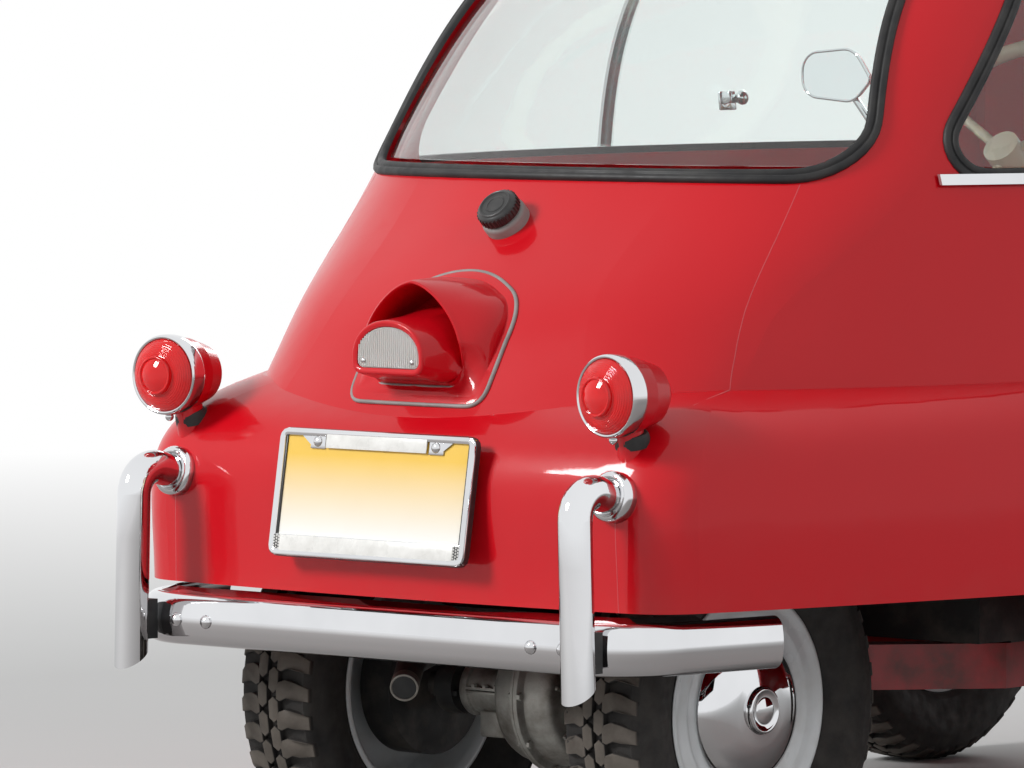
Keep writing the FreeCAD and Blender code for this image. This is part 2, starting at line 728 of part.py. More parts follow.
# Leaf springs under the rails and the axle's bearings
leaf_width = 40.0
leaf_thickness = 6.0
leaves = []
for k in range(4):
    top = rail_low - k * leaf_thickness
    leaves.append(box(rear_rail_x - leaf_width / 2, rear_rail_x + leaf_width / 2, ahead(262),
                      ahead(-30 + 45 * k), top - leaf_thickness, top))
bearing = rod((rear_rail_x - 14, rear_axle_y, hub_height), (rear_rail_x + 14, rear_axle_y, hub_height), 34)
spring = joined(leaves + [bearing])
bore = rod((-far, rear_axle_y, hub_height), (far, rear_axle_y, hub_height), axle_radius + axle_clearance)
save("rear_springs", both(spring.cut(bore)))

# Cast chain case round the axle, running forward to the gearbox
case_x = (-60.0, 34.0)
case_radius = 88.0
case_nose = 296.0
case_nose_radius = 52.0
case_nose_z = 316.0


def case_outline(extra):
    # Two circles and their outer tangents, in the side view
    c1 = Vector(0, rear_axle_y, hub_height)
    c2 = Vector(0, ahead(case_nose - 40), case_nose_z)
    r1, r2 = case_radius + extra, case_nose_radius + extra
    run = c2 - c1
    base = math.atan2(run.z, run.y)
    spread = math.acos((r1 - r2) / run.Length)
    at = []
    for a in (base + spread, base - spread):
        square = Vector(0, math.cos(a), math.sin(a))
        at.append((c1 + square * r1, c2 + square * r2))
    back = c1 - run.normalize() * r1
    front = c2 + run.normalize() * r2
    edges = [
        Part.Arc(at[1][0], back, at[0][0]).toShape(), Part.LineSegment(at[0][0], at[0][1]).toShape(),
        Part.Arc(at[0][1], front, at[1][1]).toShape(), Part.LineSegment(at[1][1], at[1][0]).toShape(),
    ]
    return Part.Wire(edges)


case_body = prism(case_outline(0).translated(Vector(case_x[0], 0, 0)), (case_x[1] - case_x[0], 0, 0))
case_flange = prism(case_outline(10).translated(Vector(-18, 0, 0)), (10, 0, 0))
case_snout = box(case_x[0] + 8, case_x[1] - 8, ahead(340), ahead(220), 280, 352)
chain_case = joined([case_body, case_flange, case_snout])
save("chain_case", chain_case.cut(bore))

# Engine and gearbox behind the seat, on the right
engine = box(-390, -90, ahead(530), ahead(340), 300, 590)
engine = engine.fuse(box(-90, 80, ahead(500), ahead(340), 270, 430))
engine = engine.fuse(box(-rail_out, -rail_in, ahead(510), ahead(455), floor_z, 300)).removeSplitter()
save("engine_block", engine)

# Exhaust: header, silencer and tail pipe
silencer = rod((86, ahead(228), 318), (86, ahead(-130), 318), 40)
tail_pipe = tube(((86, ahead(-120), 300), (86, ahead(-170), 285), (40, ahead(-235), 262)), 17, 20)
header = tube(((86, ahead(220), 318), (86, ahead(262), 318), (86, ahead(262), 262), (54, ahead(310), 262),
               (54, ahead(350), 288)), 15, 16)
save("exhaust", joined([silencer, tail_pipe, header]).cut(engine))

# Lamps
lamp_axis = (0, -1, 0)
head_place = (head_lamp_x, ahead(head_lamp_ahead), head_lamp_z)
pod_profile = (
    (0, -250), (24, -245), (50, -205), (70, -130), (head_lamp_radius - 3, -60), (head_lamp_radius - 2, -8),
    (head_lamp_radius - 8, -8), (head_lamp_radius - 12, -40), (0, -60),
)
outside = [outer_cabin, outer_skirt]


def on_body(shape):
    for solid in outside:
        shape = shape.cut(solid)
    return shape


pod = on_body(revolve(pod_profile, head_place, lamp_axis))
save("head_lamp_pods", both(pod))
head_rim_profile = (
    (head_lamp_radius - 14, -8), (head_lamp_radius, -8), (head_lamp_radius + 2, -2),
    (head_lamp_radius - 3, 8), (head_lamp_radius - 10, 12), (head_lamp_radius - 14, 8),
)
head_rims = both(revolve(head_rim_profile, head_place, lamp_axis))
lens_edge = head_lamp_radius - 14 - curved_gap
head_lens_profile = ((0, -4), (lens_edge, -4), (lens_edge, 6), (lens_edge * 0.7, 16), (0, 22))
save("head_lamp_lenses", both(revolve(head_lens_profile, head_place, lamp_axis)))

# Small turn lamps on the fronts of the wings
turn_x, turn_z = 600.0, 520.0
turn_profile = ((0, -130), (26, -130), (26, 6), (20, 22), (0, 26))
turn_lamp = on_body(revolve(turn_profile, (turn_x, ahead(1835), turn_z), lamp_axis))
save("turn_lamps", both(max(turn_lamp.Solids, key=lambda s: s.CenterOfMass.y * -1)))

# Tail lamps on the ledge
toe = math.radians(5)
tail_axis = (-math.sin(toe), math.cos(toe), 0)
tail_place = (tail_lamp_x, ahead(tail_lamp_ahead), tail_lamp_z)
r = tail_lamp_radius
housing_profile = ((0, -86), (20, -82), (36, -64), (44, -36), (r - 3, -15), (r - 3, -5), (0, -5))
housing = revolve(housing_profile, tail_place, tail_axis)
foot_start = (tail_lamp_x - 2, ahead(tail_lamp_ahead + 36), tail_lamp_z - 30)
foot = rod(foot_start, (tail_lamp_x - 2, ahead(tail_lamp_ahead + 44), 550), 17)
housing = on_body(housing.fuse(foot))
save("tail_lamp_housings", both(max(housing.Solids, key=lambda s: s.Volume)))
rim_fit = r - 3 + curved_gap
tail_rim_profile = (
    (rim_fit, -15), (r - 0.5, -15), (r + 0.5, -6), (r, 2), (r - 2, 7), (r - 5, 8), (r - 5, -5),
    (rim_fit, -5),
)
tail_rims = both(revolve(tail_rim_profile, tail_place, tail_axis))
save("lamp_rims", Part.makeCompound(head_rims.Solids + tail_rims.Solids))
lens_radius = r - 5 - curved_gap
tail_lens_profile = (
    (0, -4.9), (lens_radius, -4.9), (lens_radius, 7), (38, 12), (30, 16.5), (24, 19), (23.5, 25),
    (20.5, 25.5), (12, 28), (0, 29.5),
)
save("tail_lamp_lenses", both(revolve(tail_lens_profile, tail_place, tail_axis)))

# Number plate, blank, in its frame
tilt = Rotation(Vector(1, 0, 0), plate_tilt)


def tilted(shape):
    shape.Placement = Placement(Vector(0, ahead(plate_ahead), plate_z), tilt).multiply(shape.Placement)
    return shape


plate = box(-plate_width / 2 + 3, plate_width / 2 - 3, 0, 1.5, -plate_height / 2 + 3, plate_height / 2 - 3)
save("number_plate", tilted(plate))
half_plate, half_height = plate_width / 2, plate_height / 2
frame_out = box(-half_plate, half_plate, -2, 6, -half_height, half_height)
frame_hole = box(-half_plate + 9, half_plate - 9, -5, 9, -half_height + 20, half_height - 12)
plate_seat = box(-half_plate + 3, half_plate - 3, -5, 1.5, -half_height + 3, half_height - 3)
plate_rim = frame_out.cut(frame_hole).cut(plate_seat)
straps = [box(s * 90 - 12, s * 90 + 12, -40, 0, -plate_height / 2, plate_height / 2) for s in (1, -1)]
straps = [on_body(tilted(strap)) for strap in straps]
straps = [max(s.Solids, key=lambda t: t.CenterOfMass.y) for s in straps]
save("plate_frame", joined([tilted(plate_rim)] + straps))

# Air scoop over the tail: a hood drawn from its base outline to an arched mouth, on a thin flange
scoop_mouth = -265.0
scoop_root = -150.0
scoop_wall = 10.0
scoop_flange = 9.0


def tail_wire(half_outline, radii, at, grow=0.0):
    # A closed outline across the car from its right half, at a place ahead of the rear axle
    right = [Vector(x, 0, z) for x, z in half_outline]
    left = [Vector(-x, 0, z) for x, z in reversed(half_outline) if x > 0]
    other_radii = [r for r, p in zip(reversed(radii), reversed(right)) if p.x > 0]
    wire = rounded(right + left, radii + other_radii)
    return grown(wire, grow).translated(Vector(0, ahead(at), 0))


base_half = ((106, 606), (106, 728), (0, 775))
base_radii = [18, 52, 150]
mouth_half = ((101, 610), (80, 690), (0, 765))
mouth_radii = [16, 60, 40]
hood = Part.makeLoft([tail_wire(base_half, base_radii, scoop_root, -scoop_flange),
                      tail_wire(mouth_half, mouth_radii, scoop_mouth)], True, True)
hood_hole = Part.makeLoft([tail_wire(base_half, base_radii, scoop_root, -scoop_flange - scoop_wall),
                           tail_wire(mouth_half, mouth_radii, scoop_mouth, -scoop_wall)], True, True)
base_plate = cabin(-seal_proud).common(prism(tail_wire(base_half, base_radii, scoop_root, 0), (0, 200, 0)))
hood = on_body(hood.fuse(base_plate).cut(hood_hole))
hood = max(hood.Solids, key=lambda s: s.Volume)

# Plate lamp standing out of the mouth, its lens let into its face
lamp_face = -308.0
lamp_back = -250.0
lamp_base = ((67, 625), (60, 708))
lamp_front = ((53, 642), (46, 703))
lens_wire = tail_wire(lamp_front, [12, 34], lamp_face - 3, -5)
lamp_back_wire = tail_wire(lamp_base, [14, 38], lamp_back)
lamp_box = Part.makeLoft([lamp_back_wire, tail_wire(lamp_front, [12, 34], lamp_face)], True, True)
lamp_root = prism(lamp_back_wire, (0, -120, 0))
plate_lens = prism(lens_wire, (0, -9, 0))
lamp_box = on_body(lamp_box.fuse(lamp_root)).cut(plate_lens).cut(hood)
lamp_box = max(lamp_box.Solids, key=lambda s: s.Volume)
save("air_scoop", joined([hood, lamp_box]))
save("plate_lamp_lens", plate_lens)

# Filler neck and cap
neck_bottom = filler_seat + filler_out * (dish_lift - dish_radius - 4)
neck_top = filler_seat + filler_out * 6
neck = rod(neck_bottom, neck_top, 28).cut(rod(neck_bottom - filler_out, neck_top + filler_out, 20))
neck = neck.cut(body)
save("filler_neck", max(neck.Solids, key=lambda s: s.Volume))
cap_low = neck_top
cap_step = cap_low + filler_out * 14
cap = rod(cap_low, cap_step, 26).fuse(rod(cap_step, cap_low + filler_out * 18, 21))
save("filler_cap", cap.removeSplitter())

# Bumpers: blades bent from a C section, and tubular overriders
# Arcs of the section by start, middle and end, as outwards and up from its middle, joined in turn
blade_arcs = (
    ((0, 31), (12.5, 27.5), (18, 18)), ((18, 18), (20, 0), (18, -18)), ((18, -18), (12.5, -27.5), (0, -31)),
    ((0, -28), (10.5, -25), (15.2, -17)), ((15.2, -17), (17, 0), (15.2, 17)),
    ((15.2, 17), (10.5, 25), (0, 28)),
)
blade_z = 336.0
blade_face = 20.0


def blade(points, bend_radius):
    # Swept from the first point, the section opening towards the car
    route = [(x, ahead(a), blade_z) for x, a in points]
    path = bend(route, bend_radius)
    start = Vector(*route[0])
    along = (Vector(*route[1]) - start).normalize()
    out = Vector(0, 0, 1).cross(along)
    arcs = [[start + out * a + Vector(0, 0, b) for a, b in arc] for arc in blade_arcs]
    edges = []
    for arc, following in zip(arcs, arcs[1:] + arcs[:1]):
        edges.append(Part.Arc(*arc).toShape())
        if (following[0] - arc[2]).Length > 0.01:
            edges.append(Part.LineSegment(arc[2], following[0]).toShape())
    return path.makePipeShell([Part.Wire(edges)], True, True)


rear_blade_ahead = -330.0
rear_blade = blade(((-426, -108), (-388, rear_blade_ahead), (388, rear_blade_ahead), (426, -108)), 85)
iron_x, iron_half = 284.0, 15.0
iron_start, iron_end = ahead(tail_cross_ahead + 8), ahead(rear_blade_ahead - 18)
irons = [box(s * iron_x - iron_half, s * iron_x + iron_half, iron_start, iron_end, blade_z - 12, blade_z + 12)
         for s in (1, -1)]
irons = [max(iron.cut(crosses[-1]).Solids, key=lambda t: t.CenterOfMass.y) for iron in irons]
save("rear_bumper", joined([rear_blade] + irons))
over_path = ((348.5, ahead(-310), 512), (350, ahead(-381), 530), (357, ahead(-381), 273))
overrider = tube(over_path, bumper_tube_radius, 32, bumper_tube_radius - 2)
over_flange = on_body(rod((348.5, ahead(-280), 508), (348.5, ahead(-317), 515), 30))
over_flange = max(over_flange.Solids, key=lambda s: s.CenterOfMass.y)
overrider = joined([overrider, over_flange])
save("rear_overriders", both(overrider))
block = box(339, 369, ahead(rear_blade_ahead - blade_face), ahead(-370), blade_z - 24, blade_z + 24)
block = block.cut(tube(over_path, bumper_tube_radius, 32))
save("bumper_rubbers", both(max(block.Solids, key=lambda s: s.Volume)))

front_blade = blade(((690, 1765), (640, 1868), (520, 1893)), 60)
front_iron = on_body(box(560, 590, ahead(1899), ahead(1700), blade_z - 12, blade_z + 12))
front_iron = max(front_iron.Solids, key=lambda s: -s.CenterOfMass.y)
post_x, post_ahead = 600.0, 1935.0
post = rod((post_x, ahead(post_ahead), 262), (post_x, ahead(post_ahead), 420), bumper_tube_radius)
post = post.makeFillet(9, [edge for edge in post.Edges if len(edge.Vertexes) == 1])
post_block = box(post_x - 14, post_x + 14, ahead(1888), ahead(1925), blade_z - 18, blade_z + 18)
save("front_bumpers", both(joined([front_blade, front_iron, post, post_block])))

# Outside mirrors on stalks
mirror_place = Vector(672, ahead(1395), 975)
mirror_wire = rounded(
    [Vector(x, 0, z) for x, z in ((-62, -6), (-30, -38), (62, -30), (62, 30), (-30, 38))], [10, 34, 28, 28, 34]
)
mirror_head = prism(mirror_wire.translated(mirror_place), (0, -18, 0))
stalk = rod((530, ahead(1415), 800), (650, ahead(1402), 952), 6)
mirror = on_body(mirror_head.fuse(stalk))
save("mirrors", both(max(mirror.Solids, key=lambda s: s.Volume)))

# Door hinges: knuckles on one upright pin line
pin_place = (hinge_x, ahead(hinge_ahead))
body_leaves = []
door_arms = []
for z in hinge_heights:
    for low, high, kind in ((-30, -10.5, "body"), (-10, 10, "door"), (10.5, 30, "body")):
        knuckle_barrel = rod(pin_place + (z + low,), pin_place + (z + high,), hinge_knuckle_radius)
        if kind == "door":
            reach = 150 if z < 600 else 124
            back = 72 if z < 600 else 122
            strap = box(-math.hypot(reach, back), 0, -7, 7, z + low, z + high)
            strap.rotate(Vector(0, 0, 0), Vector(0, 0, 1), -math.degrees(math.atan2(back, reach)))
            strap.translate(Vector(pin_place[0], pin_place[1], 0))
            knuckle_barrel = knuckle_barrel.fuse(strap)
            knuckle_barrel = knuckle_barrel.cut(outer_cabin)
            knuckle_barrel = max(knuckle_barrel.Solids, key=lambda s: s.CenterOfMass.x)
            hole = hinge_pin_radius + axle_clearance
            door_arms.append(knuckle_barrel.cut(rod(pin_place + (0,), pin_place + (far,), hole)))
        else:
            reach = 90 if z < 600 else 75
            back = 110 if z < 600 else 150
            strap = box(0, math.hypot(reach, back), -6, 6, z + low, z + high)
            strap.rotate(Vector(0, 0, 0), Vector(0, 0, 1), math.degrees(math.atan2(back, reach)))
            strap.translate(Vector(pin_place[0], pin_place[1], 0))
            body_leaves.append(knuckle_barrel.fuse(strap))
    body_leaves.append(rod(pin_place + (z - 30,), pin_place + (z + 30,), hinge_pin_radius))
leaf_low = joined(body_leaves[:3])
leaf_high = joined(body_leaves[3:])
leaves_out = []
for leaf in (leaf_low, leaf_high):
    leaf = on_body(leaf).cut(pod)
    leaves_out.append(max(leaf.Solids, key=lambda s: s.Volume))
save("hinge_leaves", Part.makeCompound(leaves_out))
save("hinge_arms", Part.makeCompound(door_arms))

# Door handle
handle = joined([
    rod((-352, ahead(1800), 640), (-352, ahead(1890), 640), 11),
    box(-362, -342, ahead(1892), ahead(1882), 560, 652),
])
handle = handle.cut(outer_cabin)
save("door_handle", max(handle.Solids, key=lambda s: s.CenterOfMass.y * -1))

# Wiper: a blade along the glass, and an arm over the rubber from a boss under the windscreen
def nose_point(x, z, out):
    # A point so far off the cabin's outer face in front, square to it
    points = []
    for dx, dz in ((0, 0), (4, 0), (0, 4)):
        line = Part.makeLine(Vector(x + dx, -far, z + dz), Vector(x + dx, 0, z + dz))
        points.append(Vector(x + dx, min(v.Y for v in line.common(outer_cabin).Vertexes), z + dz))
    normal = (points[1] - points[0]).cross(points[2] - points[0]).normalize()
    return points[0] + normal * (out if normal.y < 0 else -out)


blade_radius = 3.6
blade_height = 888.0
blade_off = blade_radius + 1.6 - glass_inset
blade_run = [nose_point(x, blade_height, blade_off) for x in (24, 150, 276)]
blade_wire = Part.Wire([Part.Arc(*blade_run).toShape()])
blade_round = Part.Wire(Part.makeCircle(blade_radius, blade_run[0], blade_wire.Edges[0].tangentAt(0)))
wiper_blade = blade_wire.makePipeShell([blade_round], True, True)
arm_points = [nose_point(0, 828, 10), nose_point(50, 848, 15), nose_point(130, 882, 9), blade_run[1]]
wiper_arm = tube([tuple(p) for p in arm_points], 3.2, 8)
wiper_boss = rod(nose_point(0, 828, -20), nose_point(0, 828, 14), 9).cut(outer_cabin)
wiper = joined([wiper_blade, wiper_arm, max(wiper_boss.Solids, key=lambda s: s.Volume)])
save("wiper", wiper)

# Steering column on the door, with its bracket, and the instrument pod
rake = math.radians(column_rake)
down = Vector(0, -math.cos(rake), -math.sin(rake))
hub = Vector(wheel_x, ahead(wheel_ahead), wheel_z)
hub_length = 52.0
pin_radius = 8.0
column = rod(hub + down * (hub_length + 1), hub + down * column_length, column_radius)
column_pin = rod(hub + down * (hub_length - 26), hub + down * (hub_length + 2), pin_radius)
bracket_start = hub + down * (column_length - 40)
bracket = rod(bracket_start, bracket_start + Vector(0, -260, 0), 16).common(inner_cabin)
upper_start = hub + down * 330
brace = rod(upper_start, upper_start + Vector(0, -500, 0), 12).common(inner_cabin)
dial = upper_start + Vector(0, -math.sin(rake), math.cos(rake)) * (column_radius + 42)
pod_case = rod(dial - down * 30, dial + down * 40, 48)
save("steering_column", joined([column, column_pin, bracket, brace, pod_case]))

rim = Part.makeTorus(wheel_radius - wheel_rim_radius, wheel_rim_radius)
hub_boss = rod((0, 0, -hub_length), (0, 0, 6), 26)
hub_boss = hub_boss.cut(rod((0, 0, -hub_length - 1), (0, 0, -hub_length + 28), pin_radius + axle_clearance))
spoke_root = 12.0
spokes = []
for angle in (90, 210, 330):
    a = math.radians(angle)
    reach = wheel_radius - wheel_rim_radius
    spokes.append(rod((0, 0, -spoke_root), (reach * math.cos(a), reach * math.sin(a), 0), 7))
wheel = joined([rim, hub_boss] + spokes)
wheel.Placement = Placement(hub, Rotation(Vector(0, 0, 1), down * -1))
save("steering_wheel", wheel)

# Pedals and gear lever
under_floor = box(-far, far, -far, far, 0, floor_top)
pedals = []
for x in (190, 260, 330):
    stem = rod((x, ahead(1643), floor_top - 8), (x, ahead(1600), 400), 6).cut(under_floor)
    pedal_pad = box(x - 26, x + 26, ahead(1606), ahead(1596), 385, 445)
    pedals.append(stem.fuse(pedal_pad))
lever = rod((450, ahead(1108), floor_top - 8), (450, ahead(1150), 560), 7).cut(under_floor)
lever = lever.fuse(Part.makeSphere(17, Vector(450, ahead(1151), 566)))
save("driver_controls", Part.makeCompound(pedals + [lever]))
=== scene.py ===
import bpy
import bmesh
import json
import math
from mathutils import Matrix, Vector
from mathutils.bvhtree import BVHTree


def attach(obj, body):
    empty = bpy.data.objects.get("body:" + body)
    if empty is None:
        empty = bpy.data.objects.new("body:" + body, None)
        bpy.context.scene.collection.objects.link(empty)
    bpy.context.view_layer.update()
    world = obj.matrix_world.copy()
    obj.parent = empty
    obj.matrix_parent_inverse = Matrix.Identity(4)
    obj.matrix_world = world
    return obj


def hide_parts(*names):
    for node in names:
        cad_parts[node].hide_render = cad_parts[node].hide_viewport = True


# Bubble car: finishes, tyres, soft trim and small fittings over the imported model
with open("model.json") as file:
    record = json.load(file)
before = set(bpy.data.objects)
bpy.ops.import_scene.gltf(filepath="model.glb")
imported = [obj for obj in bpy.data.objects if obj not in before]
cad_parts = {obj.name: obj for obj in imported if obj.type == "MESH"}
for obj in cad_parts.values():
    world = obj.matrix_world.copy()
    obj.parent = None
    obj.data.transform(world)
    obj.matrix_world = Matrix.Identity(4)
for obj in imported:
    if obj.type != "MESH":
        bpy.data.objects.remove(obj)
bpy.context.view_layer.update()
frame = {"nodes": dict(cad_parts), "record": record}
nodes = frame["nodes"]
scene = bpy.context.scene
print("frame loaded:", len(nodes), "nodes")


# Materials
class Finish:
    # A material under construction, with short ways to add its nodes
    def __init__(self, name, values):
        self.material = bpy.data.materials.new(name)
        self.material.use_nodes = True
        self.tree = self.material.node_tree
        self.shader = self.tree.nodes["Principled BSDF"]
        self.fill(self.shader, values)
        self.coordinates = self.add("ShaderNodeTexCoord")

    def add(self, kind, **settings):
        node = self.tree.nodes.new(kind)
        for name, value in settings.items():
            setattr(node, name, value)
        return node

    def fill(self, node, values):
        for socket, value in values.items():
            node.inputs[socket].default_value = value

    def link(self, output, target):
        self.tree.links.new(output, target)

    def noise(self, scale, detail, roughness=0.55):
        texture = self.add("ShaderNodeTexNoise")
        self.fill(texture, {"Scale": scale, "Detail": detail, "Roughness": roughness})
        self.link(self.coordinates.outputs["Object"], texture.inputs["Vector"])
        return texture.outputs["Fac"]

    def spread(self, value, fromLow, fromHigh, toLow, toHigh):
        ranged = self.add("ShaderNodeMapRange")
        self.fill(ranged, {"From Min": fromLow, "From Max": fromHigh, "To Min": toLow, "To Max": toHigh})
        self.link(value, ranged.inputs["Value"])
        return ranged.outputs["Result"]

    def mixed(self, factor, first, second):
        # Two colours, each a tuple or the output of a node
        mix = self.add("ShaderNodeMix", data_type="RGBA")
        self.link(factor, mix.inputs["Factor"])
        for index, colour in ((6, first), (7, second)):
            if isinstance(colour, tuple):
                mix.inputs[index].default_value = (*colour, 1)
            else:
                self.link(colour, mix.inputs[index])
        return mix.outputs[2]

    def joined(self, first, second, operation="MULTIPLY"):
        node = self.add("ShaderNodeMath", operation=operation)
        self.link(first, node.inputs[0])
        self.link(second, node.inputs[1])
        return node.outputs[0]

    def axis(self, name, facing=False):
        # One coordinate of the place, or of the way the surface faces
        source = self.add("ShaderNodeNewGeometry").outputs["Normal"] if facing else self.coordinates.outputs["Object"]
        split = self.add("ShaderNodeSeparateXYZ")
        self.link(source, split.inputs["Vector"])
        return split.outputs[name]

    def colour(self, output):
        self.link(output, self.shader.inputs["Base Color"])

    def bump(self, output, height):
        node = self.add("ShaderNodeBump")
        self.fill(node, {"Distance": height, "Strength": 1.0})
        self.link(output, node.inputs["Height"])
        self.link(node.outputs["Normal"], self.shader.inputs["Normal"])

    def worn(self, noise, reach, bump=None):
        # Uneven gloss, and relief given as its scale, detail and height
        self.link(self.spread(self.noise(*noise), *reach), self.shader.inputs["Roughness"])
        if bump:
            self.bump(self.noise(*bump[:2]), bump[2])


# Plain finishes. Columns: shader values; colour noise as scale, detail, roughness; its range and greatest share;
# two colours; roughness noise as scale, detail; its range, roughness from and to; bump as scale, detail, height
lensValues = {"IOR": 1.49, "Specular IOR Level": 0.3, "Coat Weight": 0.3, "Coat Roughness": 0.03}
lensNoise = ((24, 3, 0.55), (0.35, 0.65, 1))
plainFinishes = {
    "framePaint": ({"Coat Weight": 0.4, "Coat Roughness": 0.2}, (22, 8, 0.55), (0.42, 0.68, 0.8),
                   (0.42, 0.008, 0.012), (0.10, 0.035, 0.028), (22, 8), (0.3, 0.7, 0.35, 0.6), (180, 4, 0.0002)),
    "windowGlass": ({"Transmission Weight": 1, "IOR": 1.01, "Coat Weight": 1, "Coat IOR": 1.5}, (3, 2, 0.55),
                    (0, 1, 1), (0.93, 0.97, 0.96), (0.90, 0.95, 0.94), (9, 8), (0.5, 0.8, 0, 0.04), None),
    "blackRubber": ({"Specular IOR Level": 0.35}, (30, 6, 0.55), (0.4, 0.7, 1), (0.012, 0.012, 0.013),
                    (0.030, 0.029, 0.028), (55, 5), (0.3, 0.7, 0.42, 0.62), (900, 3, 0.00006)),
    "wheelEnamel": ({"Coat Weight": 0.6, "Coat Roughness": 0.08}, (18, 8, 0.55), (0.5, 0.8, 0.5), (0.62, 0.64, 0.65),
                    (0.42, 0.40, 0.36), (14, 6), (0.3, 0.7, 0.25, 0.4), (300, 2, 0.00004)),
    "castAluminium": ({"Metallic": 0.75}, (11, 8, 0.65), (0.42, 0.66, 1), (0.40, 0.39, 0.36),
                      (0.13, 0.11, 0.09), (40, 6), (0.3, 0.7, 0.42, 0.65), (480, 4, 0.0003)),
    "blackSteel": ({}, (20, 8, 0.6), (0.46, 0.74, 1), (0.018, 0.018, 0.018),
                   (0.075, 0.066, 0.056), (32, 6), (0.3, 0.7, 0.38, 0.6), (260, 4, 0.00015)),
    "ribGlass": ({**lensValues, "Transmission Weight": 0.55}, *lensNoise, (0.86, 0.85, 0.81), (0.92, 0.92, 0.90),
                 (60, 4), (0.3, 0.7, 0.05, 0.11), None),
    "redLens": ({**lensValues, "Transmission Weight": 0.25}, *lensNoise, (0.70, 0.0015, 0.004), (0.86, 0.004, 0.006),
                (60, 4), (0.3, 0.7, 0.01, 0.07), None),
    "clearLens": ({**lensValues, "Transmission Weight": 0.8}, *lensNoise, (0.80, 0.82, 0.80), (0.92, 0.93, 0.92),
                  (60, 4), (0.3, 0.7, 0.04, 0.10), None),
    "amberLens": ({**lensValues, "Transmission Weight": 0.35}, *lensNoise, (0.75, 0.20, 0.01), (0.85, 0.28, 0.02),
                  (60, 4), (0.3, 0.7, 0.04, 0.10), None),
    "creamPlastic": ({"Coat Weight": 0.5, "Coat Roughness": 0.08, "Subsurface Weight": 0.1,
                      "Subsurface Radius": (0.004, 0.003, 0.002)}, (9, 4, 0.55), (0.3, 0.7, 1), (0.70, 0.62, 0.46),
                     (0.62, 0.53, 0.37), (30, 4), (0.3, 0.7, 0.22, 0.36), (350, 2, 0.00003)),
    "shelfFelt": ({"Sheen Weight": 0.3, "Sheen Roughness": 0.6}, (260, 5, 0.7), (0.3, 0.7, 1), (0.030, 0.028, 0.027),
                  (0.085, 0.080, 0.074), (90, 4), (0.3, 0.7, 0.8, 0.95), (900, 5, 0.0004)),
    "greyCollar": ({}, (30, 5, 0.55), (0.3, 0.7, 1), (0.30, 0.29, 0.28),
                   (0.20, 0.19, 0.18), (50, 4), (0.3, 0.7, 0.45, 0.6), (500, 3, 0.00008)),
    "barWhite": ({}, (60, 5, 0.55), (0.3, 0.7, 1), (0.80, 0.79, 0.76),
                 (0.66, 0.65, 0.62), (40, 4), (0.3, 0.7, 0.22, 0.36), (300, 3, 0.00004)),
    "mirrorSilver": ({"Metallic": 1}, (8, 3, 0.55), (0, 1, 1), (0.90, 0.92, 0.93),
                     (0.86, 0.88, 0.90), (40, 5), (0.5, 0.8, 0.01, 0.05), None),
    "seamPaint": ({"Coat Weight": 0.5, "Coat Roughness": 0.1}, (60, 4, 0.55), (0, 1, 1), (0.60, 0.05, 0.06),
                  (0.46, 0.02, 0.03), (40, 5), (0.3, 0.7, 0.3, 0.45), None),
    "blackPlastic": ({}, (90, 5, 0.55), (0.3, 0.7, 1), (0.012, 0.012, 0.013),
                     (0.028, 0.027, 0.026), (60, 4), (0.3, 0.7, 0.28, 0.42), (700, 3, 0.00005)),
}
# Woven finishes: light and dark thread, threads, depth, sheen
wovenFinishes = {
    "seatCloth": ((0.46, 0.38, 0.27), (0.25, 0.19, 0.13), 120, 0.0006, 0.2),
    "roofCloth": ((0.035, 0.035, 0.037), (0.010, 0.010, 0.011), 260, 0.0003, 0.15),
    "weltCloth": ((0.60, 0.55, 0.46), (0.42, 0.37, 0.30), 420, 0.0002, 0.1),
    "stitchThread": ((0.09, 0.09, 0.09), (0.05, 0.05, 0.05), 900, 0.0001, 0.1),
}
paintLook = {
    "values": {"Specular IOR Level": 0.12, "Coat Weight": 0.5, "Coat Roughness": 0.05},
    "red": (0.60, 0.0030, 0.0100), "deepRed": (0.54, 0.0022, 0.0085), "dust": (0.36, 0.08, 0.06),
    "dustTop": 0.42, "dustFull": 0.26, "dustShare": 0.55,
}
# The darkest colour is painted reflection of the road, put on chrome that faces down
chromeLook = {
    "bright": (0.78, 0.79, 0.81), "worn": (0.68, 0.69, 0.71), "paintedRoadReflection": (0.42, 0.40, 0.40), "paintedReflectionFrom": 0.045,
}
# The lighter block tones are painted sunlight on the tread tops; the walls and grooves keep the darker tones, as
# shade
tyreWallAndSunlitBlockTones = {
    "wall": ((0.017, 0.016, 0.016), (0.044, 0.039, 0.035)), "blocks": ((0.078, 0.066, 0.056), (0.135, 0.116, 0.098)),
}
plateLook = {"low": 0.452, "high": 0.545, "white": (0.84, 0.83, 0.79), "yellow": (0.80, 0.50, 0.06)}


def makePlain(name, values, colourNoise, colourRange, first, second, roughNoise, roughRange, bump):
    finish = Finish(name, values)
    low, high, share = colourRange
    finish.colour(finish.mixed(finish.spread(finish.noise(*colourNoise), low, high, 0, share), first, second))
    finish.worn(roughNoise, roughRange, bump)
    return finish.material


def makeWoven(name, light, dark, threads, depth, sheen):
    finish = Finish(name, {"Sheen Weight": sheen, "Sheen Roughness": 0.5})
    waves = [finish.add("ShaderNodeTexWave", wave_type="BANDS", bands_direction=way) for way in ("X", "DIAGONAL")]
    for wave in waves:
        for socket, value in (("Scale", threads), ("Distortion", 0.6), ("Detail", 1.0)):
            wave.inputs[socket].default_value = value
        finish.link(finish.coordinates.outputs["Object"], wave.inputs["Vector"])
    crossed = finish.joined(waves[0].outputs["Fac"], waves[1].outputs["Fac"])
    patches = finish.spread(finish.noise(7, 5), 0.3, 0.7, 0.75, 1.0)
    finish.colour(finish.mixed(finish.joined(finish.spread(crossed, 0, 0.8, 0, 1), patches), dark, light))
    finish.worn((40, 4), (0.3, 0.7, 0.75, 0.92))
    finish.bump(crossed, depth)
    return finish.material


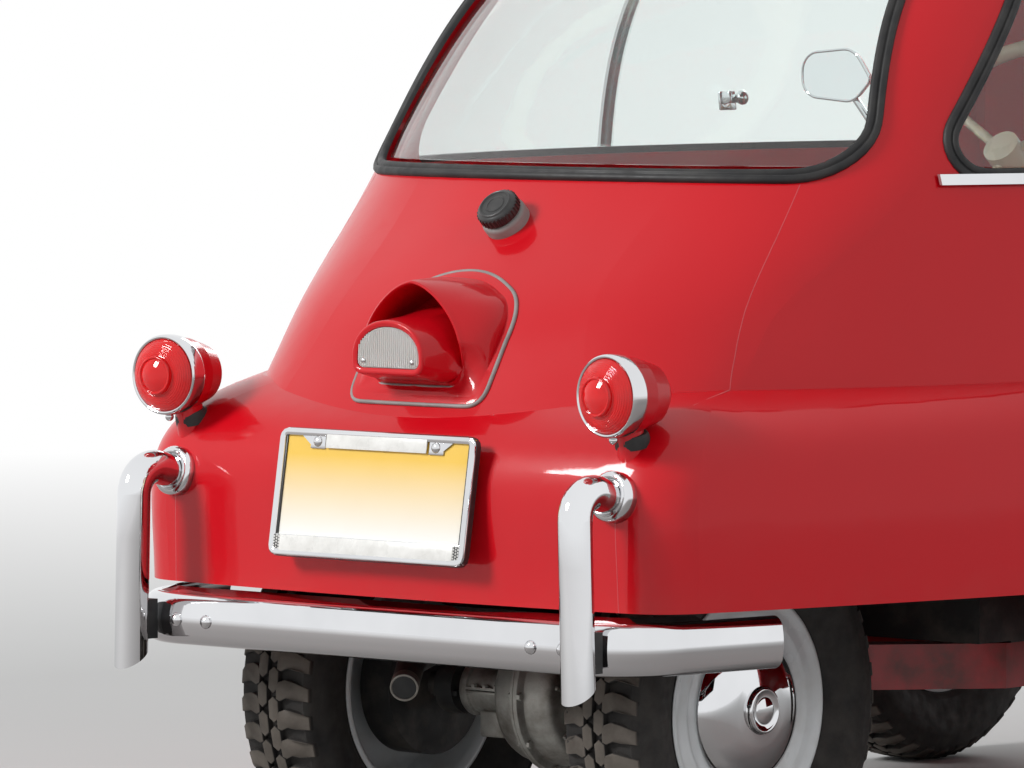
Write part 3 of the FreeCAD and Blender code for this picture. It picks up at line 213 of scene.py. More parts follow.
def makePaint():
    # Two reds in broad clouds, with road dust low on the body
    finish = Finish("redPaint", paintLook["values"])
    base = finish.mixed(finish.spread(finish.noise(1.6, 3), 0.3, 0.7, 0, 1), paintLook["red"], paintLook["deepRed"])
    low = finish.spread(finish.axis("Z"), paintLook["dustTop"], paintLook["dustFull"], 0, paintLook["dustShare"])
    dust = finish.joined(low, finish.spread(finish.noise(14, 8), 0.35, 0.75, 0, 1))
    finish.colour(finish.mixed(dust, base, paintLook["dust"]))
    finish.worn((9, 6), (0.3, 0.7, 0.30, 0.40), (420, 2, 0.00004))
    return finish.material


def makeChrome():
    # Painted reflection of the road: what faces down is painted darker
    finish = Finish("chrome", {"Metallic": 1})
    worn = finish.spread(finish.noise(5, 4), 0.35, 0.7, 0, 1)
    plated = finish.mixed(worn, chromeLook["bright"], chromeLook["worn"])
    paintedReflection = finish.spread(finish.axis("Z", facing=True), chromeLook["paintedReflectionFrom"], -chromeLook["paintedReflectionFrom"], 0, 1)
    finish.colour(finish.mixed(paintedReflection, plated, chromeLook["paintedRoadReflection"]))
    finish.worn((30, 7), (0.45, 0.75, 0.02, 0.07), (120, 2, 0.000008))
    return finish.material


def makeTyreRubber():
    finish = Finish("tyreRubber", {"Specular IOR Level": 0.3})
    dusty = finish.spread(finish.noise(26, 9, 0.65), 0.30, 0.75, 0, 1)
    wall, blocks = (finish.mixed(dusty, *tyreWallAndSunlitBlockTones[part]) for part in ("wall", "blocks"))
    raised = finish.add("ShaderNodeAttribute", attribute_name="raised")  # 1 on top of the tread blocks
    # The tread tops take the lighter tones, painted sunlight, so the grooves read as painted shade
    finish.colour(finish.mixed(raised.outputs["Fac"], wall, blocks))
    finish.worn((60, 6), (0.3, 0.7, 0.6, 0.85), (700, 4, 0.00015))
    return finish.material


def makePlatePaint():
    # White at the foot, yellow at the top
    finish = Finish("platePaint", {"Coat Weight": 0.3, "Coat Roughness": 0.1})
    rise = finish.spread(finish.axis("Z"), plateLook["low"], plateLook["high"], 0, 1)
    finish.colour(finish.mixed(rise, plateLook["white"], plateLook["yellow"]))
    finish.worn((26, 5), (0.3, 0.7, 0.28, 0.42), (1400, 2, 0.00005))
    return finish.material


finishes = {name: makePlain(name, *row) for name, row in plainFinishes.items()}
finishes.update({name: makeWoven(name, *row) for name, row in wovenFinishes.items()})
finishes.update(redPaint=makePaint(), chrome=makeChrome(), tyreRubber=makeTyreRubber(), platePaint=makePlatePaint())
# The slot of each finish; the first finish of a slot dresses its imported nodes
slotOf = {
    "redPaint": "red_paint", "seamPaint": "red_paint", "framePaint": "chassis_paint", "chrome": "chrome",
    "mirrorSilver": "chrome", "windowGlass": "glass", "blackRubber": "rubber", "blackPlastic": "rubber",
    "tyreRubber": "tyre", "wheelEnamel": "wheel_paint", "castAluminium": "cast_metal", "blackSteel": "black_steel",
    "redLens": "red_lens", "clearLens": "clear_lens", "ribGlass": "clear_lens", "amberLens": "amber_lens",
    "creamPlastic": "cream_plastic", "seatCloth": "seat_cloth", "weltCloth": "seat_cloth", "roofCloth": "roof_cloth",
    "stitchThread": "roof_cloth", "shelfFelt": "shelf_board", "platePaint": "plate_paint", "barWhite": "plate_paint",
    "greyCollar": "neck_metal",
}
dressing = {}
for finishName, slot in slotOf.items():
    dressing.setdefault(slot, finishes[finishName])
for subpart in frame["record"]["subparts"]:
    slotMaterials = nodes[subpart["node"]].data.materials
    slotMaterials.clear()
    isEngine = subpart["node"] == "engine_block"
    slotMaterials.append(finishes["blackSteel"] if isEngine else dressing[subpart["material_slot"]])
print("finishes on", len(nodes), "nodes")


# Making pieces
def newObject(name, mesh):
    # An object from a bmesh, which is used up
    data = bpy.data.meshes.new(name)
    mesh.to_mesh(data)
    mesh.free()
    made = bpy.data.objects.new(name, data)
    scene.collection.objects.link(made)
    return made


def finishPiece(name, mesh, finish, body, replaced=(), smoothAngle=40):
    # A piece that rides on a body, hides the nodes that it replaces and wears its finish
    piece = newObject(name, mesh)
    piece.data.materials.append(finishes[finish])
    piece.data.shade_smooth()
    piece.data.set_sharp_from_angle(angle=math.radians(smoothAngle))
    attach(piece, body)
    if replaced:
        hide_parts(*replaced)
    return piece


def facesOf(verts):
    return list({face for vert in verts for face in vert.link_faces})


def geometryOf(verts):
    return list({item for vert in verts for item in (vert, *vert.link_edges, *vert.link_faces)})


def addedTo(mesh, before):
    return [vert for vert in mesh.verts if vert not in before]


def placed(mesh, verts, matrix):
    # A mirroring matrix would leave the faces inside out
    bmesh.ops.transform(mesh, matrix=matrix, verts=verts)
    if matrix.determinant() < 0:
        bmesh.ops.reverse_faces(mesh, faces=facesOf(verts))
    return verts


def turned(mesh, profile, steps=96, closed=True, matrix=Matrix()):
    # Spin a profile of (radius, distance along the axis) points about +X, then place it
    before = set(mesh.verts)
    verts = [mesh.verts.new((reach, 0, radius)) for radius, reach in profile]
    line = verts + verts[:1] if closed else verts
    edges = [mesh.edges.new(pair) for pair in zip(line, line[1:])]
    bmesh.ops.spin(mesh, geom=verts + edges, cent=(0, 0, 0), axis=(1, 0, 0), angle=2 * math.pi, steps=steps,
                   use_merge=True)
    bmesh.ops.remove_doubles(mesh, verts=addedTo(mesh, before), dist=1e-6)
    made = addedTo(mesh, before)
    bmesh.ops.recalc_face_normals(mesh, faces=facesOf(made))
    return placed(mesh, made, matrix)


def repeatedRound(mesh, verts, count):
    # Copies of a detail, evenly round +X
    bmesh.ops.spin(mesh, geom=geometryOf(verts), cent=(0, 0, 0), axis=(1, 0, 0),
                   angle=2 * math.pi / count * (count - 1), steps=count - 1, use_duplicate=True)


def along(direction, place):
    # A matrix that takes +X to a direction and the origin to a place
    return Matrix.Translation(place) @ Vector(direction).to_track_quat("X", "Z").to_matrix().to_4x4()


def block(mesh, low, high, bevel, matrix=Matrix(), segments=2):
    # A box between two corners with rounded edges
    before = set(mesh.verts)
    made = bmesh.ops.create_cube(mesh, size=1.0)["verts"]
    low, high = Vector(low), Vector(high)
    size = Matrix.Diagonal((*(high - low), 1))
    bmesh.ops.transform(mesh, matrix=Matrix.Translation((low + high) / 2) @ size, verts=made)
    edges = list({edge for vert in made for edge in vert.link_edges})
    bmesh.ops.bevel(mesh, geom=edges, offset=bevel, offset_type="OFFSET", segments=segments, profile=0.5,
                    affect="EDGES", clamp_overlap=True, material=-1)
    return placed(mesh, addedTo(mesh, before), matrix)


def ringOf(mesh, points):
    ring = [mesh.verts.new(point) for point in points]
    for pair in zip(ring, ring[1:] + ring[:1]):
        mesh.edges.new(pair)
    return ring


def bridged(mesh, rings, closed=False, ends=()):
    # Join rings of vertices in turn, and close the rings that ends names
    for first, second in zip(rings, rings[1:] + rings[:1] if closed else rings[1:]):
        edges = []
        for ring in (set(first), set(second)):
            touching = {edge for vert in ring for edge in vert.link_edges}
            edges += [edge for edge in touching if ring.issuperset(edge.verts)]
        bmesh.ops.bridge_loops(mesh, edges=edges)
    for end in ends:
        bmesh.ops.contextual_create(mesh, geom=rings[end])
    made = [vert for ring in rings for vert in ring]
    bmesh.ops.recalc_face_normals(mesh, faces=facesOf(made))
    return made


def skin(mesh, outlines, ends=()):
    return bridged(mesh, [ringOf(mesh, outline) for outline in outlines], ends=ends)


def tubeAlong(mesh, points, radius, sides=16, ends=(0, -1)):
    # A tube through points, its rings set square to the path
    rings = []
    points = [Vector(point) for point in points]
    for before, point, after in zip(points[:1] + points, points, points[1:] + points[-1:]):
        ring = bmesh.ops.create_circle(mesh, cap_ends=False, segments=sides, radius=radius)["verts"]
        turn = (after - before).to_track_quat("Z", "X").to_matrix().to_4x4()
        bmesh.ops.transform(mesh, matrix=Matrix.Translation(point) @ turn, verts=ring)
        rings.append(ring)
    return bridged(mesh, rings, ends=ends)


def sweep(mesh, points, normals, profile, closed=True):
    # Carry a closed profile of (sideways, outwards) points along a path lying on a surface
    before = (points[-1:] if closed else points[:1]) + points[:-1]
    after = points[1:] + (points[:1] if closed else points[-1:])
    rings = []
    for behind, point, ahead, normal in zip(before, points, after, normals):
        tangent = (ahead - behind).normalized()
        out = (normal - tangent * normal.dot(tangent)).normalized()
        across = tangent.cross(out)
        rings.append(ringOf(mesh, [point + across * side + out * lift for side, lift in profile]))
    return bridged(mesh, rings, closed, () if closed else (0, -1))


def clamped(value):
    return min(max(value, 0), 1)


# Tyres with their block tread
tyreLook = {"pitches": 41, "top": 0.240, "floor": 0.2325, "crownDrop": 0.0035, "ringSteps": 96}
wheelPlaces = {
    "frontLeft": (1, 0.600, -0.723), "frontRight": (-1, 0.600, -0.723),
    "rearLeft": (1, 0.260, 0.777), "rearRight": (-1, 0.260, 0.777),
}
hubHeight = 0.240
# Tread blocks over one pitch, in millimetres: across the tread, and round it
pitchLength = 2 * math.pi * 240 / tyreLook["pitches"]
centreBlock = ((-7.6, -10.5), (0, -16.5), (7.6, -10.5), (7.6, 10.5), (0, 16.5), (-7.6, 10.5))
shoulderBlock = ((13.5, -9), (17, -16), (27, -19.5), (40, -17), (55.5, -9), (55.5, 9), (41, 5.5), (29, 3.5),
                 (19.5, 7.5), (13.5, 5))


def treadPoint(x, u, lift):
    # Fold a flat tread point round the tyre; the surface falls away over the shoulders
    fall = tyreLook["crownDrop"] * (min(abs(x), 49.0) / 49.0) ** 2
    over = max(abs(x) - 45.0, 0.0)
    radius = tyreLook["top"] - fall - over * over * 0.00011 + lift
    angle = u / 240.0
    return Vector((x / 1000, radius * math.sin(angle), radius * math.cos(angle)))


def addTreadBlock(mesh, outline, shiftX, shiftU, mirror):
    # One block: a flat outline, raised and bevelled, then folded round the tyre
    before = set(mesh.verts)
    face = mesh.faces.new([mesh.verts.new((mirror * x + shiftX, u + shiftU, 0)) for x, u in outline])
    raised = bmesh.ops.extrude_face_region(mesh, geom=[face])["geom"]
    bmesh.ops.translate(mesh, vec=(0, 0, 1), verts=[item for item in raised if isinstance(item, bmesh.types.BMVert)])
    bmesh.ops.bevel(mesh, geom=[item for item in raised if isinstance(item, bmesh.types.BMEdge)], offset=0.9,
                    offset_type="OFFSET", segments=1, profile=0.5, affect="EDGES", clamp_overlap=True, material=-1)
    made = addedTo(mesh, before)
    bottomLift = tyreLook["floor"] - tyreLook["top"] - 0.002
    for vert in made:
        share = clamped(vert.co.z)
        lift = bottomLift if share < 0.05 else (-0.0007 if share < 0.95 else 0.0)
        vert.co = treadPoint(vert.co.x, vert.co.y, lift)
        vert[mesh.verts.layers.float["raised"]] = float(share > 0.5)
    bmesh.ops.recalc_face_normals(mesh, faces=facesOf(made))
    return made


def mirroredProfile(half):
    return half + [(radius, -x) for radius, x in reversed(half[:-1])]


def addTyre(mesh, matrix):
    before = set(mesh.verts)
    turned(mesh, mirroredProfile([
        (0.133, -0.0405), (0.1455, -0.0408), (0.152, -0.0470), (0.1535, -0.0480), (0.1555, -0.0482), (0.170, -0.0560),
        (0.190, -0.0608), (0.203, -0.0605), (0.2045, -0.0596), (0.216, -0.0572), (0.2245, -0.0535), (0.2290, -0.0490),
        (0.2305, -0.0300), (0.2320, 0.0),
    ]), tyreLook["ringSteps"])
    blocks = []
    for mirror, shoulder in ((1, shoulderBlock), (-1, shoulderBlock[::-1])):
        shift = mirror * pitchLength / 4
        blocks += addTreadBlock(mesh, centreBlock, mirror * 8.9, shift, 1)
        blocks += addTreadBlock(mesh, shoulder, 0, shift + pitchLength / 2, mirror)
    repeatedRound(mesh, blocks, tyreLook["pitches"])
    placed(mesh, addedTo(mesh, before), matrix)


def addWheel(mesh, matrix):
    # Pressed steel rim and disc, with rolled flanges
    profile = [
        (0.020, -0.010), (0.036, -0.012), (0.037, 0.018), (0.060, 0.020), (0.094, 0.0245), (0.112, 0.0285),
        (0.124, 0.0270), (0.1285, 0.020), (0.1290, -0.034), (0.1315, -0.0405), (0.1365, -0.0436), (0.1410, -0.0438),
        (0.1428, -0.0425), (0.1424, -0.0413), (0.1405, -0.0410), (0.1350, -0.0405), (0.1326, -0.0385),
        (0.1326, 0.0385), (0.1350, 0.0405), (0.1405, 0.0410), (0.1424, 0.0413), (0.1428, 0.0425), (0.1410, 0.0438),
        (0.1375, 0.0436), (0.1340, 0.0418), (0.1310, 0.0404), (0.1250, 0.0400), (0.1165, 0.0402), (0.1130, 0.0400),
        (0.1105, 0.0385), (0.1070, 0.0372), (0.1000, 0.0366), (0.094, 0.0364), (0.020, 0.0362),
    ]
    turned(mesh, profile, 96, matrix=matrix)


def addValve(mesh, matrix):
    turn = Matrix.Rotation(math.radians(200), 4, "X") @ Matrix.Translation((0, 0, 0.1195))
    profile = [(0.0, 0.036), (0.0045, 0.037), (0.0042, 0.0415), (0.0030, 0.043), (0.0030, 0.052), (0.0036, 0.0525),
               (0.0036, 0.0585), (0.0, 0.0592)]
    turned(mesh, profile, 14, closed=False, matrix=matrix @ turn)


def addHubCap(mesh, matrix):
    # Domed cap with a raised, plain centre disc
    profile = [
        (0.0885, 0.0363), (0.0915, 0.0375), (0.0920, 0.0395), (0.0905, 0.0425), (0.0875, 0.0468), (0.0825, 0.0512),
        (0.0750, 0.0550), (0.0650, 0.0581), (0.0540, 0.0602), (0.0430, 0.0613), (0.0330, 0.0618), (0.0292, 0.0622),
        (0.0284, 0.0632), (0.0282, 0.0665), (0.0276, 0.0682), (0.0262, 0.0692), (0.0244, 0.0692), (0.0232, 0.0684),
        (0.0222, 0.0676), (0.0165, 0.0676), (0.0158, 0.0684), (0.0145, 0.0690), (0.0, 0.0694),
    ]
    turned(mesh, profile, 96, closed=False, matrix=matrix)


def makeWheels():
    for label, body, end, places in (
        ("FrontLeft", "front_wheel_left", "front_left", ["frontLeft"]),
        ("FrontRight", "front_wheel_right", "front_right", ["frontRight"]),
        ("Rear", "rear_wheels", "rear", ["rearLeft", "rearRight"]),
    ):
        many = "s" if end == "rear" else ""
        tyre, wheel, valves, cap = (bmesh.new() for _ in range(4))
        tyre.verts.layers.float.new("raised")
        for place in places:
            # Made pointing along +X, and mirrored for the car's right
            side, x, y = wheelPlaces[place]
            matrix = Matrix.Translation((side * x, y, hubHeight)) @ Matrix.Diagonal((side, 1, 1, 1))
            addTyre(tyre, matrix)
            addWheel(wheel, matrix)
            addValve(valves, matrix)
            addHubCap(cap, matrix)
        finishPiece("tyre" + label, tyre, "tyreRubber", body, [f"tyre{many}_{end}"])
        finishPiece("wheel" + label, wheel, "wheelEnamel", body, [f"wheel{many}_{end}"], 50)
        finishPiece("valve" + label, valves, "blackRubber", body)
        finishPiece("hubCap" + label, cap, "chrome", body, [f"hub_cap{many}_{end}"])


makeWheels()
print("tyres, wheels and hub caps")

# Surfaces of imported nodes, to seat small pieces on them
def surfaceOf(*names):
    mesh = bmesh.new()
    for name in names:
        mesh.from_mesh(nodes[name].data)
    tree = BVHTree.FromBMesh(mesh)
    mesh.free()
    return tree


bodySurface = surfaceOf("body_shell")
sealSurface = surfaceOf("window_seals", "windscreen_seal")


def hitFrom(surface, origin, direction):
    # The place that a ray hits and the normal there, or two times None
    return surface.ray_cast(Vector(origin), Vector(direction).normalized())[:2]


def neighbours(points):
    # Each point of a closed line between the one behind it and the one ahead
    return zip(points[-1:] + points[:-1], points, points[1:] + points[:1])


def roundedOutline(corners, radii, step=0.006):
    # Points along a closed outline in two coordinates, with its corners rounded
    bends = []
    for (behind, corner, ahead), radius in zip(neighbours([Vector(corner) for corner in corners]), radii):
        back, forth = (behind - corner).normalized(), (ahead - corner).normalized()
        half = back.angle(forth) / 2
        reach = radius / math.tan(half)
        centre = corner + (back + forth).normalized() * (radius / math.sin(half))
        bends.append((corner + back * reach, centre, corner + forth * reach, radius))
    points = []
    for (start, centre, end, radius), (target, *_) in zip(bends, bends[1:] + bends[:1]):
        first, last = start - centre, end - centre
        turn = math.atan2(first.x * last.y - first.y * last.x, first.dot(last))
        steps = max(3, int(abs(turn) * radius / step))
        points += [centre + Matrix.Rotation(turn * k / steps, 2) @ first for k in range(steps + 1)]
        cells = int((target - end).length / step)
        points += [end.lerp(target, k / cells) for k in range(1, cells)]
    return points


def smoothed(vectors, passes):
    for _ in range(passes):
        vectors = [(behind + vector * 2 + ahead).normalized() for behind, vector, ahead in neighbours(vectors)]
    return vectors


def smoothedPath(points, passes=2):
    for _ in range(passes):
        points = [(behind + point * 2 + ahead) / 4 for behind, point, ahead in neighbours(points)]
    return points


def inwards(outline, distance):
    # Move a closed outline towards its inside
    middle = sum(outline, Vector((0, 0))) / len(outline)
    moved = []
    for behind, point, ahead in neighbours(outline):
        tangent = (ahead - behind).normalized()
        normal = Vector((-tangent.y, tangent.x))
        moved.append(point + (-normal if normal.dot(middle - point) < 0 else normal) * distance)
    return moved


def circleSection(radius, sides=10):
    turns = [2 * math.pi * k / sides for k in range(sides)]
    return [(radius * math.cos(turn), radius * math.sin(turn)) for turn in turns]


# Rubber round the windows: a rolled section with a filler strip down its middle
sealLook = {
    "inset": 0.004, "reach": 3.0,
    # Outer bead, groove, filler and inner lip; the sign of the first number is the side
    "section": ((-0.0098, -0.0070), (-0.0100, -0.0020), (-0.0088, 0.0012), (-0.0062, 0.0028), (-0.0034, 0.0030),
                (-0.0012, 0.0020), (-0.0004, 0.0002), (0.0008, 0.0002), (0.0016, 0.0014), (0.0036, 0.0018),
                (0.0062, 0.0014), (0.0086, 0.0002), (0.0100, -0.0026), (0.0098, -0.0070)),
    "rear": (((-0.403, 0.875), (0.403, 0.875), (0.310, 1.236), (-0.310, 1.236)), (0.054, 0.054, 0.095, 0.095)),
    "side": (((0.612, 0.872), (-0.641, 0.872), (-0.523, 1.198), (0.322, 1.212)), (0.040, 0.045, 0.080, 0.120)),
    "front": (((-0.468, 0.852), (0.468, 0.852), (0.270, 1.155), (-0.270, 1.155)), (0.080, 0.080, 0.100, 0.100)),
}


def addSeal(mesh, window, direction):
    # The outline is seen along X or Y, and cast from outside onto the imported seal
    points, normals = [], []
    origin = -Vector(direction) * sealLook["reach"]
    for across, height in inwards(roundedOutline(*sealLook[window], 0.010), sealLook["inset"]):
        start = (origin.x, across, height) if origin.x else (across, origin.y, height)
        place, normal = hitFrom(sealSurface, start, direction)
        if place is not None:
            points.append(place)
            normals.append(normal)
    sweep(mesh, smoothedPath(points), smoothed(normals, 8), sealLook["section"])


def makeSeals():
    seals, front = bmesh.new(), bmesh.new()
    addSeal(seals, "rear", (0, -1, 0))
    addSeal(seals, "side", (-1, 0, 0))
    addSeal(seals, "side", (1, 0, 0))
    addSeal(front, "front", (0, 1, 0))
    finishPiece("windowRubbers", seals, "blackRubber", "root", ["window_seals"], 60)
    finishPiece("windscreenRubber", front, "blackRubber", "door", ["windscreen_seal"], 60)


makeSeals()
print("window rubbers")

# Scoop: hood with a pointed arch, its flange, the plate lamp standing out of it, and grey piping
scoopLook = {
    "arch": 0.675, "halfWidth": 0.079, "rise": 0.079, "power": 1.6, "mouth": 1.043, "rows": 9, "bulge": 0.005,
    "count": 120, "flange": 0.0095, "proud": 0.0032, "piping": 0.0026, "middle": (0, 0, 0.690),
    "base": ((-0.106, 0.606), (0.106, 0.606), (0.106, 0.728), (0.0, 0.775), (-0.106, 0.728)),
    "baseRadii": (0.018, 0.018, 0.052, 0.150, 0.052),
    "rim": ((0.0006, 0.0014), (0.0022, 0.0022), (0.0038, 0.0014), (0.0046, -0.0010), (0.0056, -0.012)),
}
# Outlines of the plate lamp as half width, foot, spring of the arch and top
lampLook = {
    "face": 1.0885, "back": 1.012, "front": (0.0555, 0.6435, 0.664, 0.7075), "root": (0.0680, 0.6270, 0.662, 0.7150),
    "lens": (0.0490, 0.6505, 0.663, 0.7005), "power": 2.1, "piping": 0.0024, "count": 96, "ribs": 30, "ribbed": 0.97,
    "screw": [(0.0, 0.0022), (0.0016, 0.0020), (0.0027, 0.0012), (0.0031, 0.0), (0.0031, -0.002)],
}


def evenly(points, count):
    # The same closed line with a set number of evenly spaced points
    lengths = [(points[(i + 1) % len(points)] - points[i]).length for i in range(len(points))]
    total = sum(lengths)
    found, index, run = [], 0, 0.0
    for k in range(count):
        target = total * k / count
        while run + lengths[index] < target and index < len(points) - 1:
            run += lengths[index]
            index += 1
        share = (target - run) / max(lengths[index], 1e-9)
        found.append(points[index].lerp(points[(index + 1) % len(points)], share))
    return found


def archLine(halfWidth, low, spring, top, power, radius=0.010):
    # Flat foot with rounded corners, short sides and an arched top, from the middle of the foot
    half = [(0, low), (halfWidth - radius, low)]
    for turn in (math.pi / 2 * k / 6 for k in range(1, 7)):
        half.append((halfWidth - radius + radius * math.sin(turn), low + radius - radius * math.cos(turn)))
    half += archPoints(halfWidth, spring, top - spring, power, 0, 32)
    return bothSides([Vector(point) for point in half])


def archPoints(halfWidth, spring, rise, power, first, steps):
    points = []
    for turn in (math.pi / 2 * k / steps for k in range(first, steps + 1)):
        points.append((halfWidth * math.cos(turn) ** (2 / power), spring + rise * math.sin(turn) ** (2 / power)))
    return points


def bothSides(half):
    # A closed line from its half at +X, which starts and ends in the middle
    mirrored = [point.copy() for point in reversed(half[1:-1])]
    for point in mirrored:
        point.x = -point.x
    return half + mirrored


def bodyPoint(x, z, lift=0.0):
    place, normal = hitFrom(bodySurface, (x, 3.0, z), (0, -1, 0))
    return place + normal * lift


def mouthRing(inset=0.0):
    # The hood's edge: an arch that runs back to the flange at its foot
    half = [(0, 0.6225 + inset), (0.045, 0.6225 + inset), (0.060 - inset * 0.6, 0.6255 + inset * 0.6),
            (0.0675 - inset, 0.637), (0.0725 - inset, 0.652), (0.0765 - inset, 0.668)]
    half += archPoints(scoopLook["halfWidth"] - inset, scoopLook["arch"], scoopLook["rise"] - inset,
                       scoopLook["power"], 2, 24)
    edge = []
    for x, z in half:
        share = clamped((z - 0.628) / 0.058)
        low = bodyPoint(x, z, scoopLook["proud"] + 0.004).y
        edge.append(Vector((x, low + (scoopLook["mouth"] - low) * share * share * (3 - 2 * share), z)))
    return evenly(bothSides(edge), scoopLook["count"])


def lampRing(share, grow=0.0, y=None):
    # The plate lamp's outline, from its face at 0 to its root at 1
    halfWidth, low, spring, top = (f + (b - f) * share for f, b in zip(lampLook["front"], lampLook["root"]))
    line = archLine(halfWidth + grow, low - grow, spring, top + grow, lampLook["power"], 0.013)
    at = lampLook["face"] + (lampLook["back"] - lampLook["face"]) * share if y is None else y
    return [Vector((p.x, at, p.y)) for p in evenly(line, lampLook["count"])]


def hoodRings(root, mouth):
    # Steep at the flange, then straight to the arch
    for share in (k / scoopLook["rows"] for k in range(1, scoopLook["rows"] + 1)):
        ring = []
        for a, b in zip(root, mouth):
            depth = clamped((b.y - a.y) / 0.03)
            away = (Vector((a.x, 0, a.z)) - Vector(scoopLook["middle"])).normalized()
            across = share ** (1 + 0.55 * depth)
            point = Vector((a.x + (b.x - a.x) * across, a.y + (b.y - a.y) * share, a.z + (b.z - a.z) * across))
            ring.append(point + away * scoopLook["bulge"] * depth * 2 * share * (1 - share))
        yield ring


def makeScoop():
    mesh, piping = bmesh.new(), bmesh.new()
    outline = evenly(roundedOutline(scoopLook["base"], scoopLook["baseRadii"], 0.004), scoopLook["count"])
    # Start the base outline at the middle of its foot, going towards +X as the mouth does
    start = min(range(len(outline)), key=lambda i: abs(outline[i].x) + (10 if outline[i].y > 0.65 else 0))
    outline = outline[start:] + outline[:start]
    if outline[3].x < outline[0].x:
        outline = outline[:1] + outline[:0:-1]
    proud = scoopLook["proud"]
    rows = ((0.0006, -0.004), (0.0004, proud * 0.4), (0.0010, proud * 0.8), (0.0024, proud),
            (scoopLook["flange"], proud))
    flange = [[bodyPoint(*p, lift) for p in inwards(outline, inset)] for inset, lift in rows]
    rim = []
    for inset, forward in scoopLook["rim"]:
        ring = mouthRing(inset)
        rim.append([p + Vector((0, forward * clamped((p.z - 0.632) / 0.03), 0)) for p in ring])
    inner = [bodyPoint(p.x * 0.985, p.z, 0.0005) for p in rim[-1]]
    throat = [a.lerp(b, 0.5) for a, b in zip(rim[-1], inner)]
    skin(mesh, [*flange, *hoodRings(flange[-1], mouthRing()), *rim, throat, inner])
    # Plate lamp: a tapered housing with an arched face and a rolled rim round its lens
    face = lampLook["face"]
    lens = evenly(archLine(*lampLook["lens"], lampLook["power"], 0.008), lampLook["count"])
    housing = [[bodyPoint(p.x, p.z, lift) for p in lampRing(share)] for share, lift in ((1.0, 0.0), (0.97, 0.012))]
    housing += [lampRing(share) for share in (0.7, 0.5, 0.35, 0.2, 0.08)]
    housing += [lampRing(0.0, grow, face - depth) for grow, depth in
                ((0.0004, 0.0022), (-0.0006, 0.0006), (-0.0022, 0.0), (-0.0040, 0.0006))]
    housing += [[Vector((p.x, face - depth, p.y)) for p in lens] for depth in (0.0022, 0.0090)]
    skin(mesh, housing, (-1,))
    bmesh.ops.recalc_face_normals(mesh, faces=mesh.faces)
    finishPiece("scoopHood", mesh, "redPaint", "root", ["air_scoop"], 45)
    foot = [bodyPoint(p.x, p.z, 0.0032) for p in lampRing(1.0, 0.0012)]
    edge = [bodyPoint(*p, 0.0012) for p in outline]
    for line, rise, radius in ((edge, 0.4, scoopLook["piping"]), (foot, 0.3, lampLook["piping"])):
        sweep(piping, smoothedPath(line), [Vector((0, 1, rise)).normalized()] * len(line), circleSection(radius))
    finishPiece("scoopPiping", piping, "greyCollar", "root", (), 60)


def makePlateLens():
    # Ribbed glass filling the lamp's face, with a screw in each lower corner
    mesh, screws = bmesh.new(), bmesh.new()
    halfWidth, low, spring, top = lampLook["lens"]
    arch = archLine(halfWidth, low + 0.0006, spring, top - 0.0008, lampLook["power"], 0.008)
    line = [Vector((p.x * 0.985, p.y)) for p in arch]
    face = lampLook["face"] - 0.0030
    skin(mesh, [[Vector((p.x, y, p.y)) for p in line] for y in (face - 0.006, face)], (-1,))
    pitch = 2 * halfWidth * lampLook["ribbed"] / lampLook["ribs"]
    for k in range(lampLook["ribs"]):
        x = -halfWidth * lampLook["ribbed"] + pitch * (k + 0.5)
        near = [p.y for p in line if abs(p.x - x) < pitch * 0.8 and p.y > spring - 0.002]
        upper = (max(near) if near else spring) - 0.0012
        foot = low + 0.0016 + max(0.0, abs(x) - halfWidth + 0.008) * 0.6
        rib = [mesh.verts.new((x + dx * pitch, face + dy, z)) for z in (foot, upper)
               for dx, dy in ((-0.46, 0.0), (-0.28, 0.0009), (0, 0.0013), (0.28, 0.0009), (0.46, 0.0))]
        for i in range(4):
            mesh.faces.new((rib[i], rib[i + 1], rib[i + 6], rib[i + 5]))
        mesh.faces.new(rib[:5])
        mesh.faces.new(rib[5:][::-1])
    bmesh.ops.recalc_face_normals(mesh, faces=mesh.faces)
    finishPiece("plateLens", mesh, "ribGlass", "root", ["plate_lamp_lens"], 30)
    for side in (1, -1):
        turned(screws, lampLook["screw"], 14, False, along((0, 1, 0), (side * 0.0385, face + 0.0012, 0.6590)))
    finishPiece("plateLensScrews", screws, "chrome", "root")


makeScoop()
makePlateLens()


# Number plate frame with its screws, pale bars, dark knurled corners, and a dark rim and side strips of painted
# shade; sizes before it is tilted
plateFrameLook = {
    "tilt": 9.5, "place": (0, 1.112, 0.499), "half": (0.1555, 0.077), "inset": 0.004, "corner": 0.008, "bar": 0.0250,
    "section": ((-0.0040, -0.0045), (-0.0040, 0.0015), (-0.0030, 0.0030), (-0.0005, 0.0036), (0.0020, 0.0033),
                (0.0046, 0.0024), (0.0052, 0.0008), (0.0052, -0.0012), (0.0040, -0.0045)),
    # The dark rim is a strip round the frame's outside: a painted shadow line
    "shadowLineRim": ((-0.0046, -0.0075), (-0.0046, 0.0002), (-0.0040, 0.0009), (-0.0030, 0.0006), (-0.0030, -0.0075)),
    "tab": 0.012, "screwX": 0.094, "screwZ": 0.062, "stayX": 0.090, "knurls": (4, 6),
    "screw": [(0.0, 0.0042), (0.0030, 0.0038), (0.0055, 0.0024), (0.0066, 0.0004), (0.0066, -0.003)],
    "stud": [(0.0, 0.0009), (0.0016, 0.0), (0.0016, -0.0004)],
}


